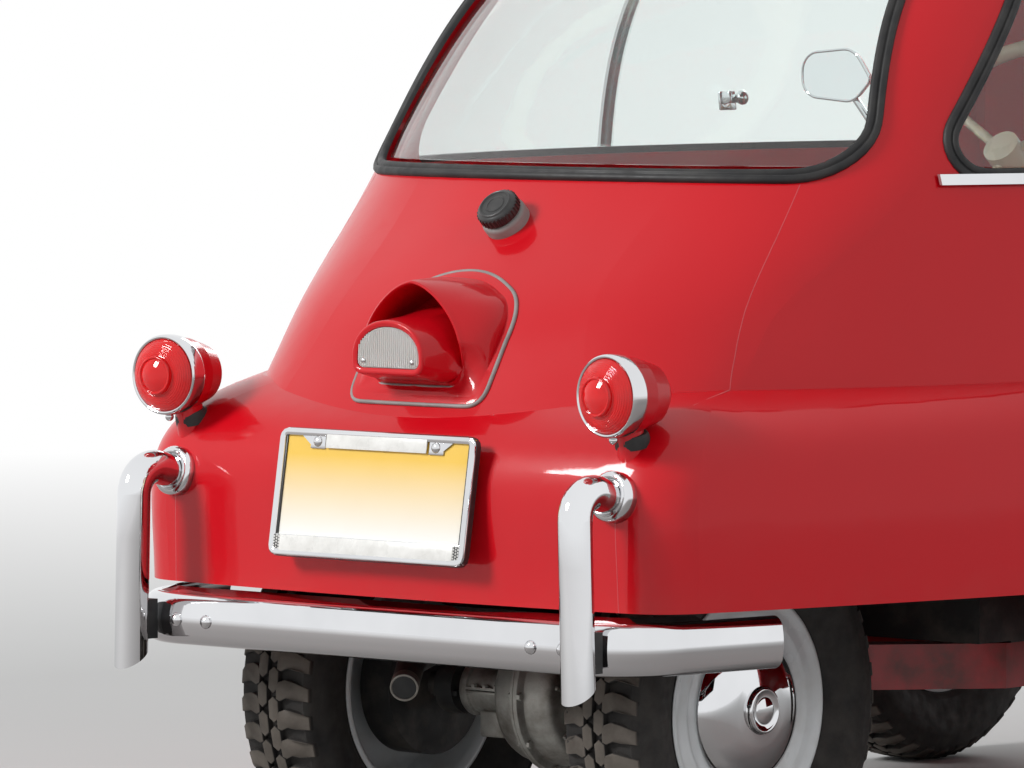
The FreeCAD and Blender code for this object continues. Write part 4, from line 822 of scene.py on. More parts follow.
def makePlateFrame():
    look = plateFrameLook
    matrix = Matrix.Translation(look["place"]) @ Matrix.Rotation(math.radians(look["tilt"]), 4, "X")
    halfX, halfZ = look["half"]
    foot, bar, tab = -halfZ, look["bar"], look["tab"]
    ring, bars, knurls, studs = (bmesh.new() for _ in range(4))
    x, z = halfX - look["inset"], halfZ - look["inset"]
    outer = roundedOutline(((-x, -z), (x, -z), (x, z), (-x, z)), (look["corner"],) * 4, 0.01)
    points = [Vector((p.x, 0.0025, p.y)) for p in outer]
    sweep(ring, points, [Vector((0, 1, 0))] * len(points), look["section"])
    # A dark strip round the outside of the frame: painted shadow line
    sweep(knurls, points, [Vector((0, 1, 0))] * len(points), look["shadowLineRim"])
    block(ring, (-halfX + 0.006, -0.001, foot + 0.003), (halfX - 0.006, 0.0046, foot + bar + 0.001), 0.0012)
    block(bars, (-0.080, 0.0042, halfZ - 0.0225), (0.080, 0.0058, halfZ - 0.002), 0.0006)
    block(bars, (-halfX + 0.0175, 0.0042, foot + 0.0030), (halfX - 0.0175, 0.0058, foot + bar), 0.0006)
    for side in (1, -1):
        x = side * look["screwX"]
        block(ring, (x - tab, 0.0005, halfZ - 0.024), (x + tab, 0.0042, halfZ - 0.004), 0.0035)
        screw = along((0, 1, 0), (x, 0.004, look["screwZ"]))
        turned(ring, look["screw"], 20, False, screw)
        x = side * look["stayX"]
        block(ring, (x - tab, -0.036, foot + 0.004), (x + tab, -0.0024, halfZ - 0.004), 0.001)
        # A gusset tapers from each tab into the frame
        corners = ((0.104, halfZ - 0.004), (0.104, halfZ - 0.020), (0.122, halfZ - 0.007), (0.122, halfZ - 0.004))
        back, front = ([ring.verts.new((side * x, y, z)) for x, z in corners] for y in (0.0005, 0.0040))
        for i in range(4):
            ring.faces.new((back[i], back[(i + 1) % 4], front[(i + 1) % 4], front[i]))
        ring.faces.new(front)
        ring.faces.new(back[::-1])
        low, high = sorted((side * (halfX - 0.0180), side * (halfX - 0.0035)))
        block(knurls, (low, 0.0030, foot + 0.0030), (high, 0.0052, foot + bar), 0.0004)
        columns, rows = look["knurls"]
        for i in range(columns):
            for k in range(rows):
                x = low + 0.0148 * (i + 0.5) / columns
                z = foot + 0.0035 + (bar - 0.004) * (k + 0.35 + 0.4 * (i % 2)) / rows
                turned(studs, look["stud"], 4, False, along((0, 1, 0), (x, 0.0052, z)))
        # Dark strips up the frame's sides: painted shade on the chrome
        low, high = sorted((side * (halfX - 0.0115), side * (halfX - 0.0086)))
        block(knurls, (low, -0.0005, foot + bar), (high, 0.0034, halfZ - 0.006), 0.0004)
    bmesh.ops.recalc_face_normals(ring, faces=ring.faces)
    for mesh in (ring, bars, knurls, studs):
        bmesh.ops.transform(mesh, matrix=matrix, verts=mesh.verts)
    finishPiece("plateSurround", ring, "chrome", "root", ["plate_frame"])
    finishPiece("plateBars", bars, "barWhite", "root")
    finishPiece("plateStuds", studs, "barWhite", "root", (), 30)
    finishPiece("plateKnurlsAndPaintedShade", knurls, "blackPlastic", "root", (), 30)


makePlateFrame()

# Rear bumper: its bolts, and the flange along its upper edge as (inset, height) round the bend
boltLook = {
    "x": (0.308, 0.259), "y": 1.127, "z": 0.336, "radius": 0.0085, "bend": 0.085,
    "plan": ((-0.416, 0.995), (-0.388, 1.107), (0.388, 1.107), (0.416, 0.995)),
    "flange": ((-0.002, 0.3650), (0.004, 0.3665), (0.014, 0.3690), (0.024, 0.3725), (0.024, 0.3710), (0.014, 0.3675),
               (0.004, 0.3650)),
}


def bentPlan(corners, radius, steps=10):
    # A line on the floor plan with its corners rounded
    corners = [Vector(corner) for corner in corners]
    route = corners[:1]
    for before, corner, after in zip(corners, corners[1:], corners[2:]):
        first, last = (before - corner).normalized(), (after - corner).normalized()
        reach = radius / math.tan(first.angle(last) / 2)
        start, end = corner + first * reach, corner + last * reach
        for share in (k / steps for k in range(steps + 1)):
            route.append(start * (1 - share) ** 2 + corner * 2 * share * (1 - share) + end * share ** 2)
    return route + corners[-1:]


def makeBolts():
    bolts, flange = bmesh.new(), bmesh.new()
    radius = boltLook["radius"]
    head = [(0.0, 0.0058), (radius * 0.45, 0.0052), (radius * 0.82, 0.0032), (radius, 0.0006), (radius, -0.002)]
    for side in (1, -1):
        for x in boltLook["x"]:
            turned(bolts, head, 24, False, along((0, 1, 0), (side * x, boltLook["y"], boltLook["z"])))
    finishPiece("bumperBolts", bolts, "chrome", "root", (), 50)
    route = bentPlan(boltLook["plan"], boltLook["bend"])
    rows = []
    for behind, point, ahead in zip(route[:1] + route, route, route[1:] + route[-1:]):
        across = Vector((ahead.y - behind.y, behind.x - ahead.x)).normalized()
        if across.dot(Vector((0, 1.0)) - point) < 0:
            across.negate()
        rows.append([flange.verts.new((*(point + across * inset), z)) for inset, z in boltLook["flange"]])
    for first, second in zip(rows, rows[1:]):
        for i in range(len(first)):
            k = (i + 1) % len(first)
            flange.faces.new((first[i], second[i], second[k], first[k]))
    flange.faces.new(rows[0])
    flange.faces.new(rows[-1][::-1])
    bmesh.ops.recalc_face_normals(flange, faces=flange.faces)
    finishPiece("bumperFlange", flange, "chrome", "root", (), 50)


makeBolts()

# Filler: knurled cap on a flared collar in the recess
fillerLook = {
    "slope": 47.0, "seat": (0, 0.875, 0.826), "neckTop": 0.006, "ribs": 30,
    "rib": ((0.0018, 0.0255, -0.0013), (0.0132, 0.0275, 0.0013), 0.0007),
    "cap": ((0.0255, 0.0006), (0.0262, 0.0014), (0.0262, 0.0128), (0.0250, 0.0148), (0.0228, 0.0160),
            (0.0218, 0.0168), (0.0212, 0.0180), (0.0200, 0.0184), (0.0188, 0.0178), (0.0180, 0.0166),
            (0.0150, 0.0162), (0.0128, 0.0164), (0.0122, 0.0172), (0.0110, 0.0174), (0.0100, 0.0166), (0.0, 0.0164)),
    "collar": ((0.0205, -0.020), (0.0205, -0.0004), (0.0225, 0.0), (0.0262, -0.0008), (0.0285, -0.0030),
               (0.0292, -0.0060), (0.0290, -0.020)),
}


def makeFiller():
    slope = math.radians(fillerLook["slope"])
    out = Vector((0, math.sin(slope), math.cos(slope)))
    matrix = along(out, Vector(fillerLook["seat"]) + out * fillerLook["neckTop"])
    cap, neck = bmesh.new(), bmesh.new()
    turned(cap, fillerLook["cap"], 90, closed=False)
    repeatedRound(cap, block(cap, *fillerLook["rib"], segments=1), fillerLook["ribs"])
    bmesh.ops.transform(cap, matrix=matrix, verts=cap.verts)
    finishPiece("fillerCap", cap, "blackPlastic", "root", ["filler_cap"], 35)
    turned(neck, fillerLook["collar"], 64, matrix=matrix)
    finishPiece("fillerCollar", neck, "greyCollar", "root", ["filler_neck"])


makeFiller()
print("piping, plate frame, bolts and filler")

# Tail lamps: chrome rim, moulded lens, screw under the rim and rubber pad under the foot; head lamp rims
tailLook = {
    "place": (0.353, 1.096, 0.631), "toe": 5.0, "ripple": 0.00022, "ripples": 9, "footAt": (0.351, 1.052),
    "rim": ((0.0464, -0.0148), (0.0478, -0.0150), (0.0486, -0.0142), (0.0492, -0.0100), (0.0494, -0.0050),
            (0.0493, 0.0), (0.0488, 0.0042), (0.0478, 0.0068), (0.0464, 0.0078), (0.0450, 0.0076), (0.0441, 0.0066),
            (0.0441, -0.0048), (0.0464, -0.0050)),
    "pad": ((0.0, 0.0110), (0.0165, 0.0110), (0.0190, 0.0098), (0.0205, 0.0060), (0.0212, 0.0), (0.0212, -0.006)),
    "screwAt": (-0.006, 0, -0.0515), "screwRadius": 0.0054,
}
headLook = {
    "place": (0.590, -1.023, 0.690),
    "rim": ((0.0664, -0.0078), (0.0798, -0.0078), (0.0818, -0.0040), (0.0816, 0.0), (0.0800, 0.0052),
            (0.0768, 0.0092), (0.0728, 0.0114), (0.0690, 0.0112), (0.0664, 0.0086)),
}


def tailMatrix(side):
    toe = math.radians(tailLook["toe"])
    x, y, z = tailLook["place"]
    return Matrix.Diagonal((side, 1, 1, 1)) @ along((-math.sin(toe), math.cos(toe), 0), (x, y, z))


def tailLensProfile():
    # A rippled dome, a raised ring and a smaller dome inside it
    profile = [(0.0436, -0.0045), (0.0436, 0.0064)]
    steps = tailLook["ripples"] * 6
    for k in range(steps + 1):
        share = k / steps
        radius = 0.0434 - share * 0.0196
        height = 0.0068 + 0.0122 * (1 - (1 - share) ** 2)
        profile.append((radius, height + tailLook["ripple"] * math.cos(2 * math.pi * share * tailLook["ripples"])))
    profile += [(0.0234, 0.0238), (0.0231, 0.0248), (0.0224, 0.0253), (0.0214, 0.0253), (0.0207, 0.0248),
                (0.0204, 0.0240)]
    profile += [(0.0200 * math.sqrt(1 - k / 10), 0.0238 + 0.0054 * k / 10) for k in range(11)]
    return profile


def makeTailLamps():
    lens, rim, pads = bmesh.new(), bmesh.new(), bmesh.new()
    for side in (1, -1):
        matrix = tailMatrix(side)
        turned(lens, tailLensProfile(), 72, False, matrix)
        turned(rim, tailLook["rim"], 72, matrix=matrix)
        screw = bmesh.ops.create_uvsphere(rim, u_segments=16, v_segments=10, radius=tailLook["screwRadius"])["verts"]
        bmesh.ops.transform(rim, matrix=matrix @ Matrix.Translation(tailLook["screwAt"]), verts=screw)
        x, y = tailLook["footAt"]
        place, normal = hitFrom(bodySurface, (side * x, y, 1.0), (0, 0, -1))
        if place is not None:
            turned(pads, tailLook["pad"], 32, False, along((normal + Vector((0, 0, 2))).normalized(), place))
        x, y, z = headLook["place"]
        turned(rim, headLook["rim"], 72, matrix=along((0, -1, 0), (side * x, y, z)))
    finishPiece("tailLenses", lens, "redLens", "root", ["tail_lamp_lenses"])
    finishPiece("lampRims", rim, "chrome", "root", ["lamp_rims"])
    finishPiece("tailPads", pads, "blackRubber", "root")


makeTailLamps()
print("tail lamps")

# Bench seat: each pad swells as cloth, then gets its sewn channels and a welt
seatLook = {
    "voxel": 0.0085, "pressure": 4.0, "frames": 20, "cap": 0.026, "stiffness": 12, "bending": 0.6,
    "channels": 11, "sewnWidth": 0.88, "sewnTo": 0.46, "depth": 0.006, "width": 0.009, "welt": 0.0042,
    "proud": 0.0015,
}
cushionShape = {
    "low": (-0.490, -0.288, 0.4070), "high": (0.490, 0.180, 0.5080), "bevel": 0.034, "heldBelow": 0.412,
    "limits": ((-0.500, -0.298, 0.4006), (0.500, 0.187, 0.560)), "flatFrom": 0.085, "flatTop": 0.5195,
    "welt": (((-0.474, -0.272), (0.474, -0.272), (0.474, 0.078), (-0.474, 0.078)), (0.04, 0.04, 0.02, 0.02)),
}
backShape = {
    "low": (-0.490, 0.110, 0.5280), "high": (0.490, 0.2200, 0.8500), "bevel": 0.028, "heldBehind": 0.214,
    "limits": ((-0.500, 0.085, 0.5210), (0.500, 0.2236, 0.8595)), "topThickness": 0.058,
    "welt": (((-0.474, 0.552), (0.474, 0.552), (0.474, 0.836), (-0.474, 0.836)), (0.03, 0.03, 0.04, 0.04)),
}


def swollen(mesh, name, hold):
    # Cloth under pressure on a remeshed pad, held at the points that hold() names
    pad = newObject(name, mesh)
    remesh = pad.modifiers.new("remesh", "REMESH")
    remesh.mode = "VOXEL"
    remesh.voxel_size = seatLook["voxel"]
    bpy.context.view_layer.objects.active = pad
    pad.select_set(True)
    bpy.ops.object.modifier_apply(modifier=remesh.name)
    start = [v.co.copy() for v in pad.data.vertices]
    group = pad.vertex_groups.new(name="held")
    group.add([i for i, co in enumerate(start) if hold(co)], 1.0, "REPLACE")
    cloth = pad.modifiers.new("cloth", "CLOTH")
    cloth.settings.use_pressure = True
    cloth.settings.uniform_pressure_force = seatLook["pressure"]
    cloth.settings.vertex_group_mass = "held"
    cloth.settings.tension_stiffness = cloth.settings.compression_stiffness = seatLook["stiffness"]
    cloth.settings.bending_stiffness = seatLook["bending"]
    cloth.settings.effector_weights.gravity = 0
    cloth.point_cache.frame_start = 1
    cloth.point_cache.frame_end = seatLook["frames"]
    for number in range(1, seatLook["frames"] + 1):
        scene.frame_set(number)
    evaluated = pad.evaluated_get(bpy.context.evaluated_depsgraph_get())
    swelled = [v.co.copy() for v in evaluated.data.vertices]
    pad.modifiers.remove(cloth)
    scene.frame_set(1)
    for vert, first, last in zip(pad.data.vertices, start, swelled):
        move = last - first
        if move.length > seatLook["cap"]:
            move = move.normalized() * seatLook["cap"]
        vert.co = first + move
    data = pad.data
    made = bmesh.new()
    made.from_mesh(data)
    bpy.data.objects.remove(pad)
    bpy.data.meshes.remove(data)
    bmesh.ops.subdivide_edges(made, edges=made.edges, cuts=1, use_grid_fill=True, smooth=0.0)
    for _ in range(2):
        bmesh.ops.smooth_vert(made, verts=made.verts, factor=0.5, use_axis_x=True, use_axis_y=True, use_axis_z=True)
    return made


def sewn(mesh, strength):
    # Press channels into the face; strength(vertex) is 0 where nothing is sewn
    mesh.normal_update()
    spacing = seatLook["sewnWidth"] / seatLook["channels"]
    for vert in mesh.verts:
        share = strength(vert)
        if share <= 0 or abs(vert.co.x) > seatLook["sewnTo"]:
            continue
        position = (vert.co.x + seatLook["sewnWidth"] / 2) / spacing
        gap = abs(position - round(position)) * spacing
        vert.co -= vert.normal * seatLook["depth"] * share * math.exp(-(gap / seatLook["width"]) ** 2)
    mesh.normal_update()


def addWelt(welt, pad, outline, direction):
    # Cord along the edge of a pad's face
    surface = BVHTree.FromBMesh(pad)
    points, normals = [], []
    for point in outline:
        place, normal = hitFrom(surface, point - Vector(direction) * 0.4, direction)
        if place is not None:
            points.append(place + normal * seatLook["proud"])
            normals.append(normal)
    sweep(welt, smoothedPath(points), smoothed(normals, 6), circleSection(seatLook["welt"]))


def keepInside(mesh, low, high):
    for vert in mesh.verts:
        for axis in range(3):
            vert.co[axis] = min(max(vert.co[axis], low[axis]), high[axis])


def makeSeat():
    cushion, back, welt = bmesh.new(), bmesh.new(), bmesh.new()
    block(cushion, cushionShape["low"], cushionShape["high"], cushionShape["bevel"], segments=5)
    cushion = swollen(cushion, "cushionPad", lambda co: co.z < cushionShape["heldBelow"])
    keepInside(cushion, *cushionShape["limits"])
    for vert in cushion.verts:
        if vert.co.y > cushionShape["flatFrom"]:
            vert.co.z = min(vert.co.z, cushionShape["flatTop"])
    sewn(cushion, lambda v: clamped((v.normal.z - 0.55) / 0.3) * clamped((v.co.y + 0.262) / 0.02) * (v.co.y < 0.100))
    outline = [Vector((p.x, p.y, 0.46)) for p in roundedOutline(*cushionShape["welt"], 0.012)]
    addWelt(welt, cushion, outline, (0, 0, -1))
    made = block(back, backShape["low"], backShape["high"], backShape["bevel"], segments=5)
    (_, front, low), (_, rear, high) = backShape["low"], backShape["high"]
    for vert in made:
        # The backrest thins towards its top
        share = (vert.co.z - low) / (high - low)
        vert.co.y = rear - (rear - vert.co.y) * (1 - share * (1 - backShape["topThickness"] / (rear - front)))
    back = swollen(back, "backPad", lambda co: co.y > backShape["heldBehind"])
    keepInside(back, *backShape["limits"])
    sewn(back, lambda v: clamped((-v.normal.y - 0.6) / 0.3) * clamped((0.832 - v.co.z) / 0.02)
         * clamped((v.co.z - 0.545) / 0.02))
    outline = [Vector((p.x, 0.15, p.y)) for p in roundedOutline(*backShape["welt"], 0.012)]
    addWelt(welt, back, outline, (0, 1, 0))
    finishPiece("seatCushion", cushion, "seatCloth", "root", ["seat_cushion"], 60)
    finishPiece("seatBack", back, "seatCloth", "root", ["seat_backrest"], 60)
    finishPiece("seatWelts", welt, "weltCloth", "root", (), 60)


makeSeat()
print("bench seat")

# Folding roof: coated cloth stretched over two bows, with a doubled hem and its stitches
roofLook = {
    "halfX": 0.348, "front": -0.476, "back": 0.185, "corner": 0.108, "cells": (116, 112), "bows": (-0.245, -0.030),
    "sag": 0.0035, "hem": 0.016, "thickness": 0.0022, "stitch": 0.0045, "seam": 0.012, "thread": 0.0005,
}
roofMiddle = (roofLook["front"] + roofLook["back"]) / 2
roofHalf = (roofLook["back"] - roofLook["front"]) / 2
roofSurface = surfaceOf("sunroof")


def pastCorner(x, y):
    # How far a point lies beyond the centre of its corner's arc
    r = roofLook["corner"]
    return abs(x) - (roofLook["halfX"] - r), abs(y - roofMiddle) - (roofHalf - r)


def roofRounded(x, y):
    # Map a rectangle to the same rectangle with rounded corners
    r = roofLook["corner"]
    dx, dy = pastCorner(x, y)
    if dx > 0 and dy > 0:
        dx, dy = dx * math.sqrt(1 - (dy / r) ** 2 / 2), dy * math.sqrt(1 - (dx / r) ** 2 / 2)
        x = math.copysign(roofLook["halfX"] - r + dx, x)
        y = roofMiddle + math.copysign(roofHalf - r + dy, y - roofMiddle)
    return x, y


def roofLift(x, y):
    # Height of the cloth over its middle surface: hem, bows, sag and small folds
    dx, dy = pastCorner(x, y)
    edge = roofLook["corner"] - (math.hypot(dx, dy) if dx > 0 and dy > 0 else max(dx, dy))
    stops = (roofLook["front"] + 0.02,) + roofLook["bows"] + (roofLook["back"] - 0.02,)
    sag = 0.0
    for first, last in zip(stops, stops[1:]):
        if first <= y <= last:
            sag = math.sin(math.pi * (y - first) / (last - first)) ** 1.3
    bow = sum(math.exp(-((y - place) / 0.006) ** 2) for place in roofLook["bows"])
    folds = math.sin(x * 34 + 2.2 * math.sin(y * 9)) * math.sin(y * 21 + 1.0) * 0.0006
    corner = math.exp(-((abs(x) - 0.27) ** 2 + (abs(y - roofMiddle) - 0.255) ** 2) / 0.004)
    folds += corner * 0.0012 * math.sin((abs(x) + abs(y)) * 150)
    hem = 0.0007 if edge < roofLook["hem"] else 0.0
    return clamped((edge - 0.028) / 0.05) * (folds - roofLook["sag"] * sag + 0.0008 * bow) + hem


def onRoof(x, y, surface=roofSurface):
    return hitFrom(surface, (x, y, 2.0), (0, 0, -1))


def roofLength(marks):
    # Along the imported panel, through the given places on the floor plan
    places = [onRoof(*mark)[0] for mark in marks]
    return sum((last - first).length for first, last in zip(places, places[1:]))


def makeRoof():
    mesh, stitches = bmesh.new(), bmesh.new()
    halfX, front, back, corner = (roofLook[name] for name in ("halfX", "front", "back", "corner"))
    bmesh.ops.create_grid(mesh, x_segments=roofLook["cells"][0], y_segments=roofLook["cells"][1], size=1.0)
    for vert in mesh.verts:
        x, y = roofRounded(vert.co.x * halfX * 0.9985, roofMiddle + vert.co.y * roofHalf * 0.9985)
        place, normal = onRoof(x, y)
        if place is None:
            place, normal = onRoof(x * 0.995, roofMiddle + (y - roofMiddle) * 0.995)
        vert.co = place + normal * (roofLift(x, y) - roofLook["thickness"] - 0.0002)
    bmesh.ops.recalc_face_normals(mesh, faces=mesh.faces)
    if sum(face.normal.z for face in mesh.faces) < 0:
        bmesh.ops.reverse_faces(mesh, faces=mesh.faces)
    roof = finishPiece("roofCloth", mesh, "roofCloth", "root", ["sunroof"], 50)
    wall = roof.modifiers.new("thickness", "SOLIDIFY")
    wall.thickness = roofLook["thickness"]
    wall.offset = 1.0
    surface = BVHTree.FromObject(roof, bpy.context.evaluated_depsgraph_get())
    corners = ((-halfX, front), (halfX, front), (halfX, back), (-halfX, back))
    row = inwards(roundedOutline(corners, (corner,) * 4, roofLook["stitch"]), roofLook["seam"])
    for start, following in zip(row, row[1:]):
        a, out = onRoof(*start, surface)
        b, _ = onRoof(*start.lerp(following, 0.62), surface)
        if a is not None and b is not None:
            stitch = [a - out * 0.0002, (a + b) / 2 + out * 0.0003, b - out * 0.0002]
            tubeAlong(stitches, stitch, roofLook["thread"], 5)
    thread = finishPiece("roofStitches", stitches, "stitchThread", "root", (), 60)
    length = roofLength([(0.0, front + 0.002 + (back - front - 0.004) * step / 40) for step in range(41)])
    width = roofLength([(halfX * 0.995 * (step / 20 - 1), -0.145) for step in range(41)])
    print("roof cloth, cut to", round(width, 3), "by", round(length, 3))


makeRoof()

# Outside mirrors: painted shell, bright rim and glass
mirrorLook = {
    "place": (0.6695, -0.618, 0.975), "radii": (0.010, 0.034, 0.028, 0.028, 0.034),
    "outline": ((-0.062, -0.006), (-0.030, -0.038), (0.062, -0.030), (0.062, 0.030), (-0.030, 0.038)),
    "rows": ((1.0, -0.0012), (1.0, -0.0060), (0.97, -0.0105), (0.88, -0.0145), (0.70, -0.0170), (0.40, -0.0180)),
    "stalk": ((0.530, -0.638, 0.800), (0.650, -0.625, 0.952)), "stalkRadius": 0.0052, "rim": 0.0021,
    "foot": [(0.0, 0.010), (0.0075, 0.0085), (0.0135, 0.0040), (0.0150, 0.0), (0.0150, -0.003)],
}
doorSurface = surfaceOf("body_shell", "front_door")


def addMirror(shell, pane, rim, side):
    outline = roundedOutline(mirrorLook["outline"], mirrorLook["radii"], 0.004)
    middle = sum(outline, Vector((0, 0))) / len(outline)
    placeX, placeY, placeZ = mirrorLook["place"]

    def raised(points, depth):
        return [Vector((side * (placeX + p.x), placeY + depth, placeZ + p.y)) for p in points]

    rows = [raised([middle + (p - middle) * scale for p in outline], depth) for scale, depth in mirrorLook["rows"]]
    skin(shell, rows, (0, -1))
    points = raised(outline, -0.0010)
    sweep(rim, points, [Vector((0, 1, 0))] * len(points), circleSection(mirrorLook["rim"], 8))
    face = [pane.verts.new(point) for point in raised([p * 0.985 for p in outline], -0.0004)]
    made = bmesh.ops.contextual_create(pane, geom=face)["faces"]
    bmesh.ops.inset_region(pane, faces=made, thickness=0.004, depth=0.0)
    bmesh.ops.recalc_face_normals(pane, faces=pane.faces)
    for item in pane.faces:
        if item.normal.y < 0:
            item.normal_flip()
    start, end = (Vector((side * x, y, z)) for x, y, z in mirrorLook["stalk"])
    stalk = [start, start.lerp(end, 0.35), start.lerp(end, 0.7), end, end + (end - start).normalized() * 0.012]
    tubeAlong(rim, stalk, mirrorLook["stalkRadius"], 14)
    base, normal = hitFrom(doorSurface, start + Vector((side * 0.05, -0.4, 0.0)), (-side * 0.05, 0.4, 0))
    if base is not None:
        turned(rim, mirrorLook["foot"], 24, False, along(normal, base))


def nodeBody(name):
    for body, held in frame["record"]["behaviour"]["bodies"].items():
        if name in held:
            return body
    return "root"


def makeMirrors():
    shell, pane, rim = bmesh.new(), bmesh.new(), bmesh.new()
    for side in (1, -1):
        addMirror(shell, pane, rim, side)
    for mesh in (shell, rim):
        bmesh.ops.recalc_face_normals(mesh, faces=mesh.faces)
    finishPiece("mirrorShells", shell, "redPaint", nodeBody("mirrors"), ["mirrors"])
    finishPiece("mirrorRims", rim, "chrome", nodeBody("mirrors"))
    finishPiece("mirrorGlass", pane, "mirrorSilver", nodeBody("mirrors"))


makeMirrors()

# Overriders: slanted half round ends and flanges against the body
overriderLook = {
    "path": ((0.3485, 1.087, 0.512), (0.350, 1.1557, 0.530), (0.357, 1.1557, 0.273)), "radius": 0.0205, "bend": 0.032,
    "flange": ((0.3485, 1.057, 0.508), (0.3485, 1.094, 0.515), 0.030),
    "cutAbove": 0.016, "cutSlope": (0, -0.62, -1.0),
}


def bentPath(corners, bend, steps=10):
    # Straight runs joined by arcs
    corners = [Vector(corner) for corner in corners]
    points = corners[:1]
    for before, corner, after in zip(corners, corners[1:], corners[2:]):
        back, ahead = (before - corner).normalized(), (after - corner).normalized()
        half = back.angle(ahead) / 2
        centre = corner + (back + ahead).normalized() * (bend / math.sin(half))
        first, last = ((corner + way * bend / math.tan(half) - centre).normalized() for way in (back, ahead))
        points += [centre + first.slerp(last, k / steps) * bend for k in range(steps + 1)]
    return points + corners[-1:]


def makeOverriders():
    mesh = bmesh.new()
    start, end, radius = overriderLook["flange"]
    start, end = Vector(start), Vector(end)
    length = (end - start).length
    flange = [(0.0195, length), (radius - 0.0060, length + 0.0008), (radius - 0.0022, length - 0.0004),
              (radius, length - 0.0030), (radius + 0.0004, length * 0.7), (radius, 0.0), (0.0195, 0.0)]
    ring = [(0.0202, length), (0.0212, length + 0.0022), (0.0232, length + 0.0028), (0.0246, length + 0.0018),
            (0.0250, length)]
    for side in (1, -1):
        before = set(mesh.verts)
        path = bentPath(overriderLook["path"], overriderLook["bend"])
        for _ in range(4):
            path.insert(-1, path[-2].lerp(path[-1], 0.25))
        tube = tubeAlong(mesh, path, overriderLook["radius"], 36, ends=())
        # The tube is cut on a slant, lower at the back, then closed by a flat end
        low = path[-1] + Vector((0, 0, overriderLook["cutAbove"]))
        cut = bmesh.ops.bisect_plane(mesh, geom=geometryOf(tube), dist=1e-6, plane_co=low,
                                     plane_no=overriderLook["cutSlope"], clear_outer=True)
        rim = [item for item in cut["geom_cut"] if isinstance(item, bmesh.types.BMEdge)]
        bmesh.ops.contextual_create(mesh, geom=rim)
        for profile in (flange, ring):
            turned(mesh, profile, 48, matrix=along(end - start, start))
        placed(mesh, addedTo(mesh, before), Matrix.Diagonal((side, 1, 1, 1)))
    bmesh.ops.recalc_face_normals(mesh, faces=mesh.faces)
    finishPiece("overriders", mesh, "chrome", "root", ["rear_overriders"])


makeOverriders()

# Seams of the pressed panels, standing out of the paint as thin lines of filler
seamLook = {
    "half": 0.0006, "proud": 0.00025, "foot": -0.0006,
    "lines": ((((0.340, 0.868), (0.352, 0.720), (0.366, 0.615)), 14), (((0.350, 0.500), (0.353, 0.378)), 12)),
}


def addSeam(mesh, marks, count):
    # Cast the line through the marks, given as (x, z), onto the tail
    points, normals = [], []
    marks = [Vector(mark) for mark in marks]
    stops = [first.lerp(last, k / count) for first, last in zip(marks, marks[1:]) for k in range(count)] + marks[-1:]
    for x, z in stops:
        place, normal = hitFrom(bodySurface, (x, 3.0, z), (0, -1, 0))
        if place is not None:
            points.append(place)
            normals.append(normal)
    half, proud, foot = seamLook["half"], seamLook["proud"], seamLook["foot"]
    section = [(-half, foot), (-half, proud * 0.4), (0, proud), (half, proud * 0.4), (half, foot)]
    sweep(mesh, points, normals, section, closed=False)


def makeSeams():
    mesh = bmesh.new()
    for side in (1, -1):
        for line, count in seamLook["lines"]:
            addSeam(mesh, [(side * x, z) for x, z in line], count)
    finishPiece("panelSeams", mesh, "seamPaint", "root", (), 60)


makeSeams()
print("mirrors, overriders and seams")

# Under the tail: cast chain case with its flange, ribs and bolts, and the axle casings
# Rows are places across the car and how far they stand out of the side view's outline
caseLook = {
    "rear": (0.777, 0.240, 0.088), "front": (0.521, 0.316, 0.052), "bolts": 16, "fins": 7,
    "rows": ((-0.0600, -0.017), (-0.0590, -0.012), (-0.0560, -0.007), (-0.0500, -0.004), (-0.0225, 0.0),
             (-0.0205, 0.003), (-0.0200, 0.0085), (-0.0190, 0.0098), (-0.0142, 0.0100), (-0.0136, 0.0092),
             (-0.0130, 0.0092), (-0.0124, 0.0100), (-0.0085, 0.0098), (-0.0075, 0.0085), (-0.0070, 0.003),
             (-0.0050, 0.0), (0.0240, -0.004), (0.0300, -0.007), (0.0330, -0.012), (0.0340, -0.017)),
    "bolt": ((0.0, 0.0042), (0.00416, 0.0040), (0.0052, 0.0028), (0.0052, -0.001)),
    "stud": ((0.0, 0.0035), (0.0036, 0.0033), (0.0042, 0.0022), (0.0042, -0.001)),
    "casing": ((0.0150, 0.0), (0.0500, 0.0), (0.0505, 0.0060), (0.0460, 0.0085), (0.0380, 0.0120), (0.0335, 0.0190),
               (0.0320, 0.0300), (0.0315, 0.0820), (0.0345, 0.0835), (0.0350, 0.0930), (0.0340, 0.0945),
               (0.0150, 0.0945)),
}


def caseLine(extra, steps=28):
    # Two circles and their tangents in the side view, as (y, z)
    (y1, z1, r1), (y2, z2, r2) = caseLook["rear"], caseLook["front"]
    r1, r2 = r1 + extra, r2 + extra
    base = math.atan2(z2 - z1, y2 - y1)
    spread = math.acos((r1 - r2) / math.hypot(y2 - y1, z2 - z1))
    points = []
    for k in range(steps + 1):
        a = base + spread + (2 * math.pi - 2 * spread) * k / steps
        points.append(Vector((y1 + r1 * math.cos(a), z1 + r1 * math.sin(a))))
    for k in range(steps // 2 + 1):
        a = base - spread + 2 * spread * k / (steps // 2)
        points.append(Vector((y2 + r2 * math.cos(a), z2 + r2 * math.sin(a))))
    return points


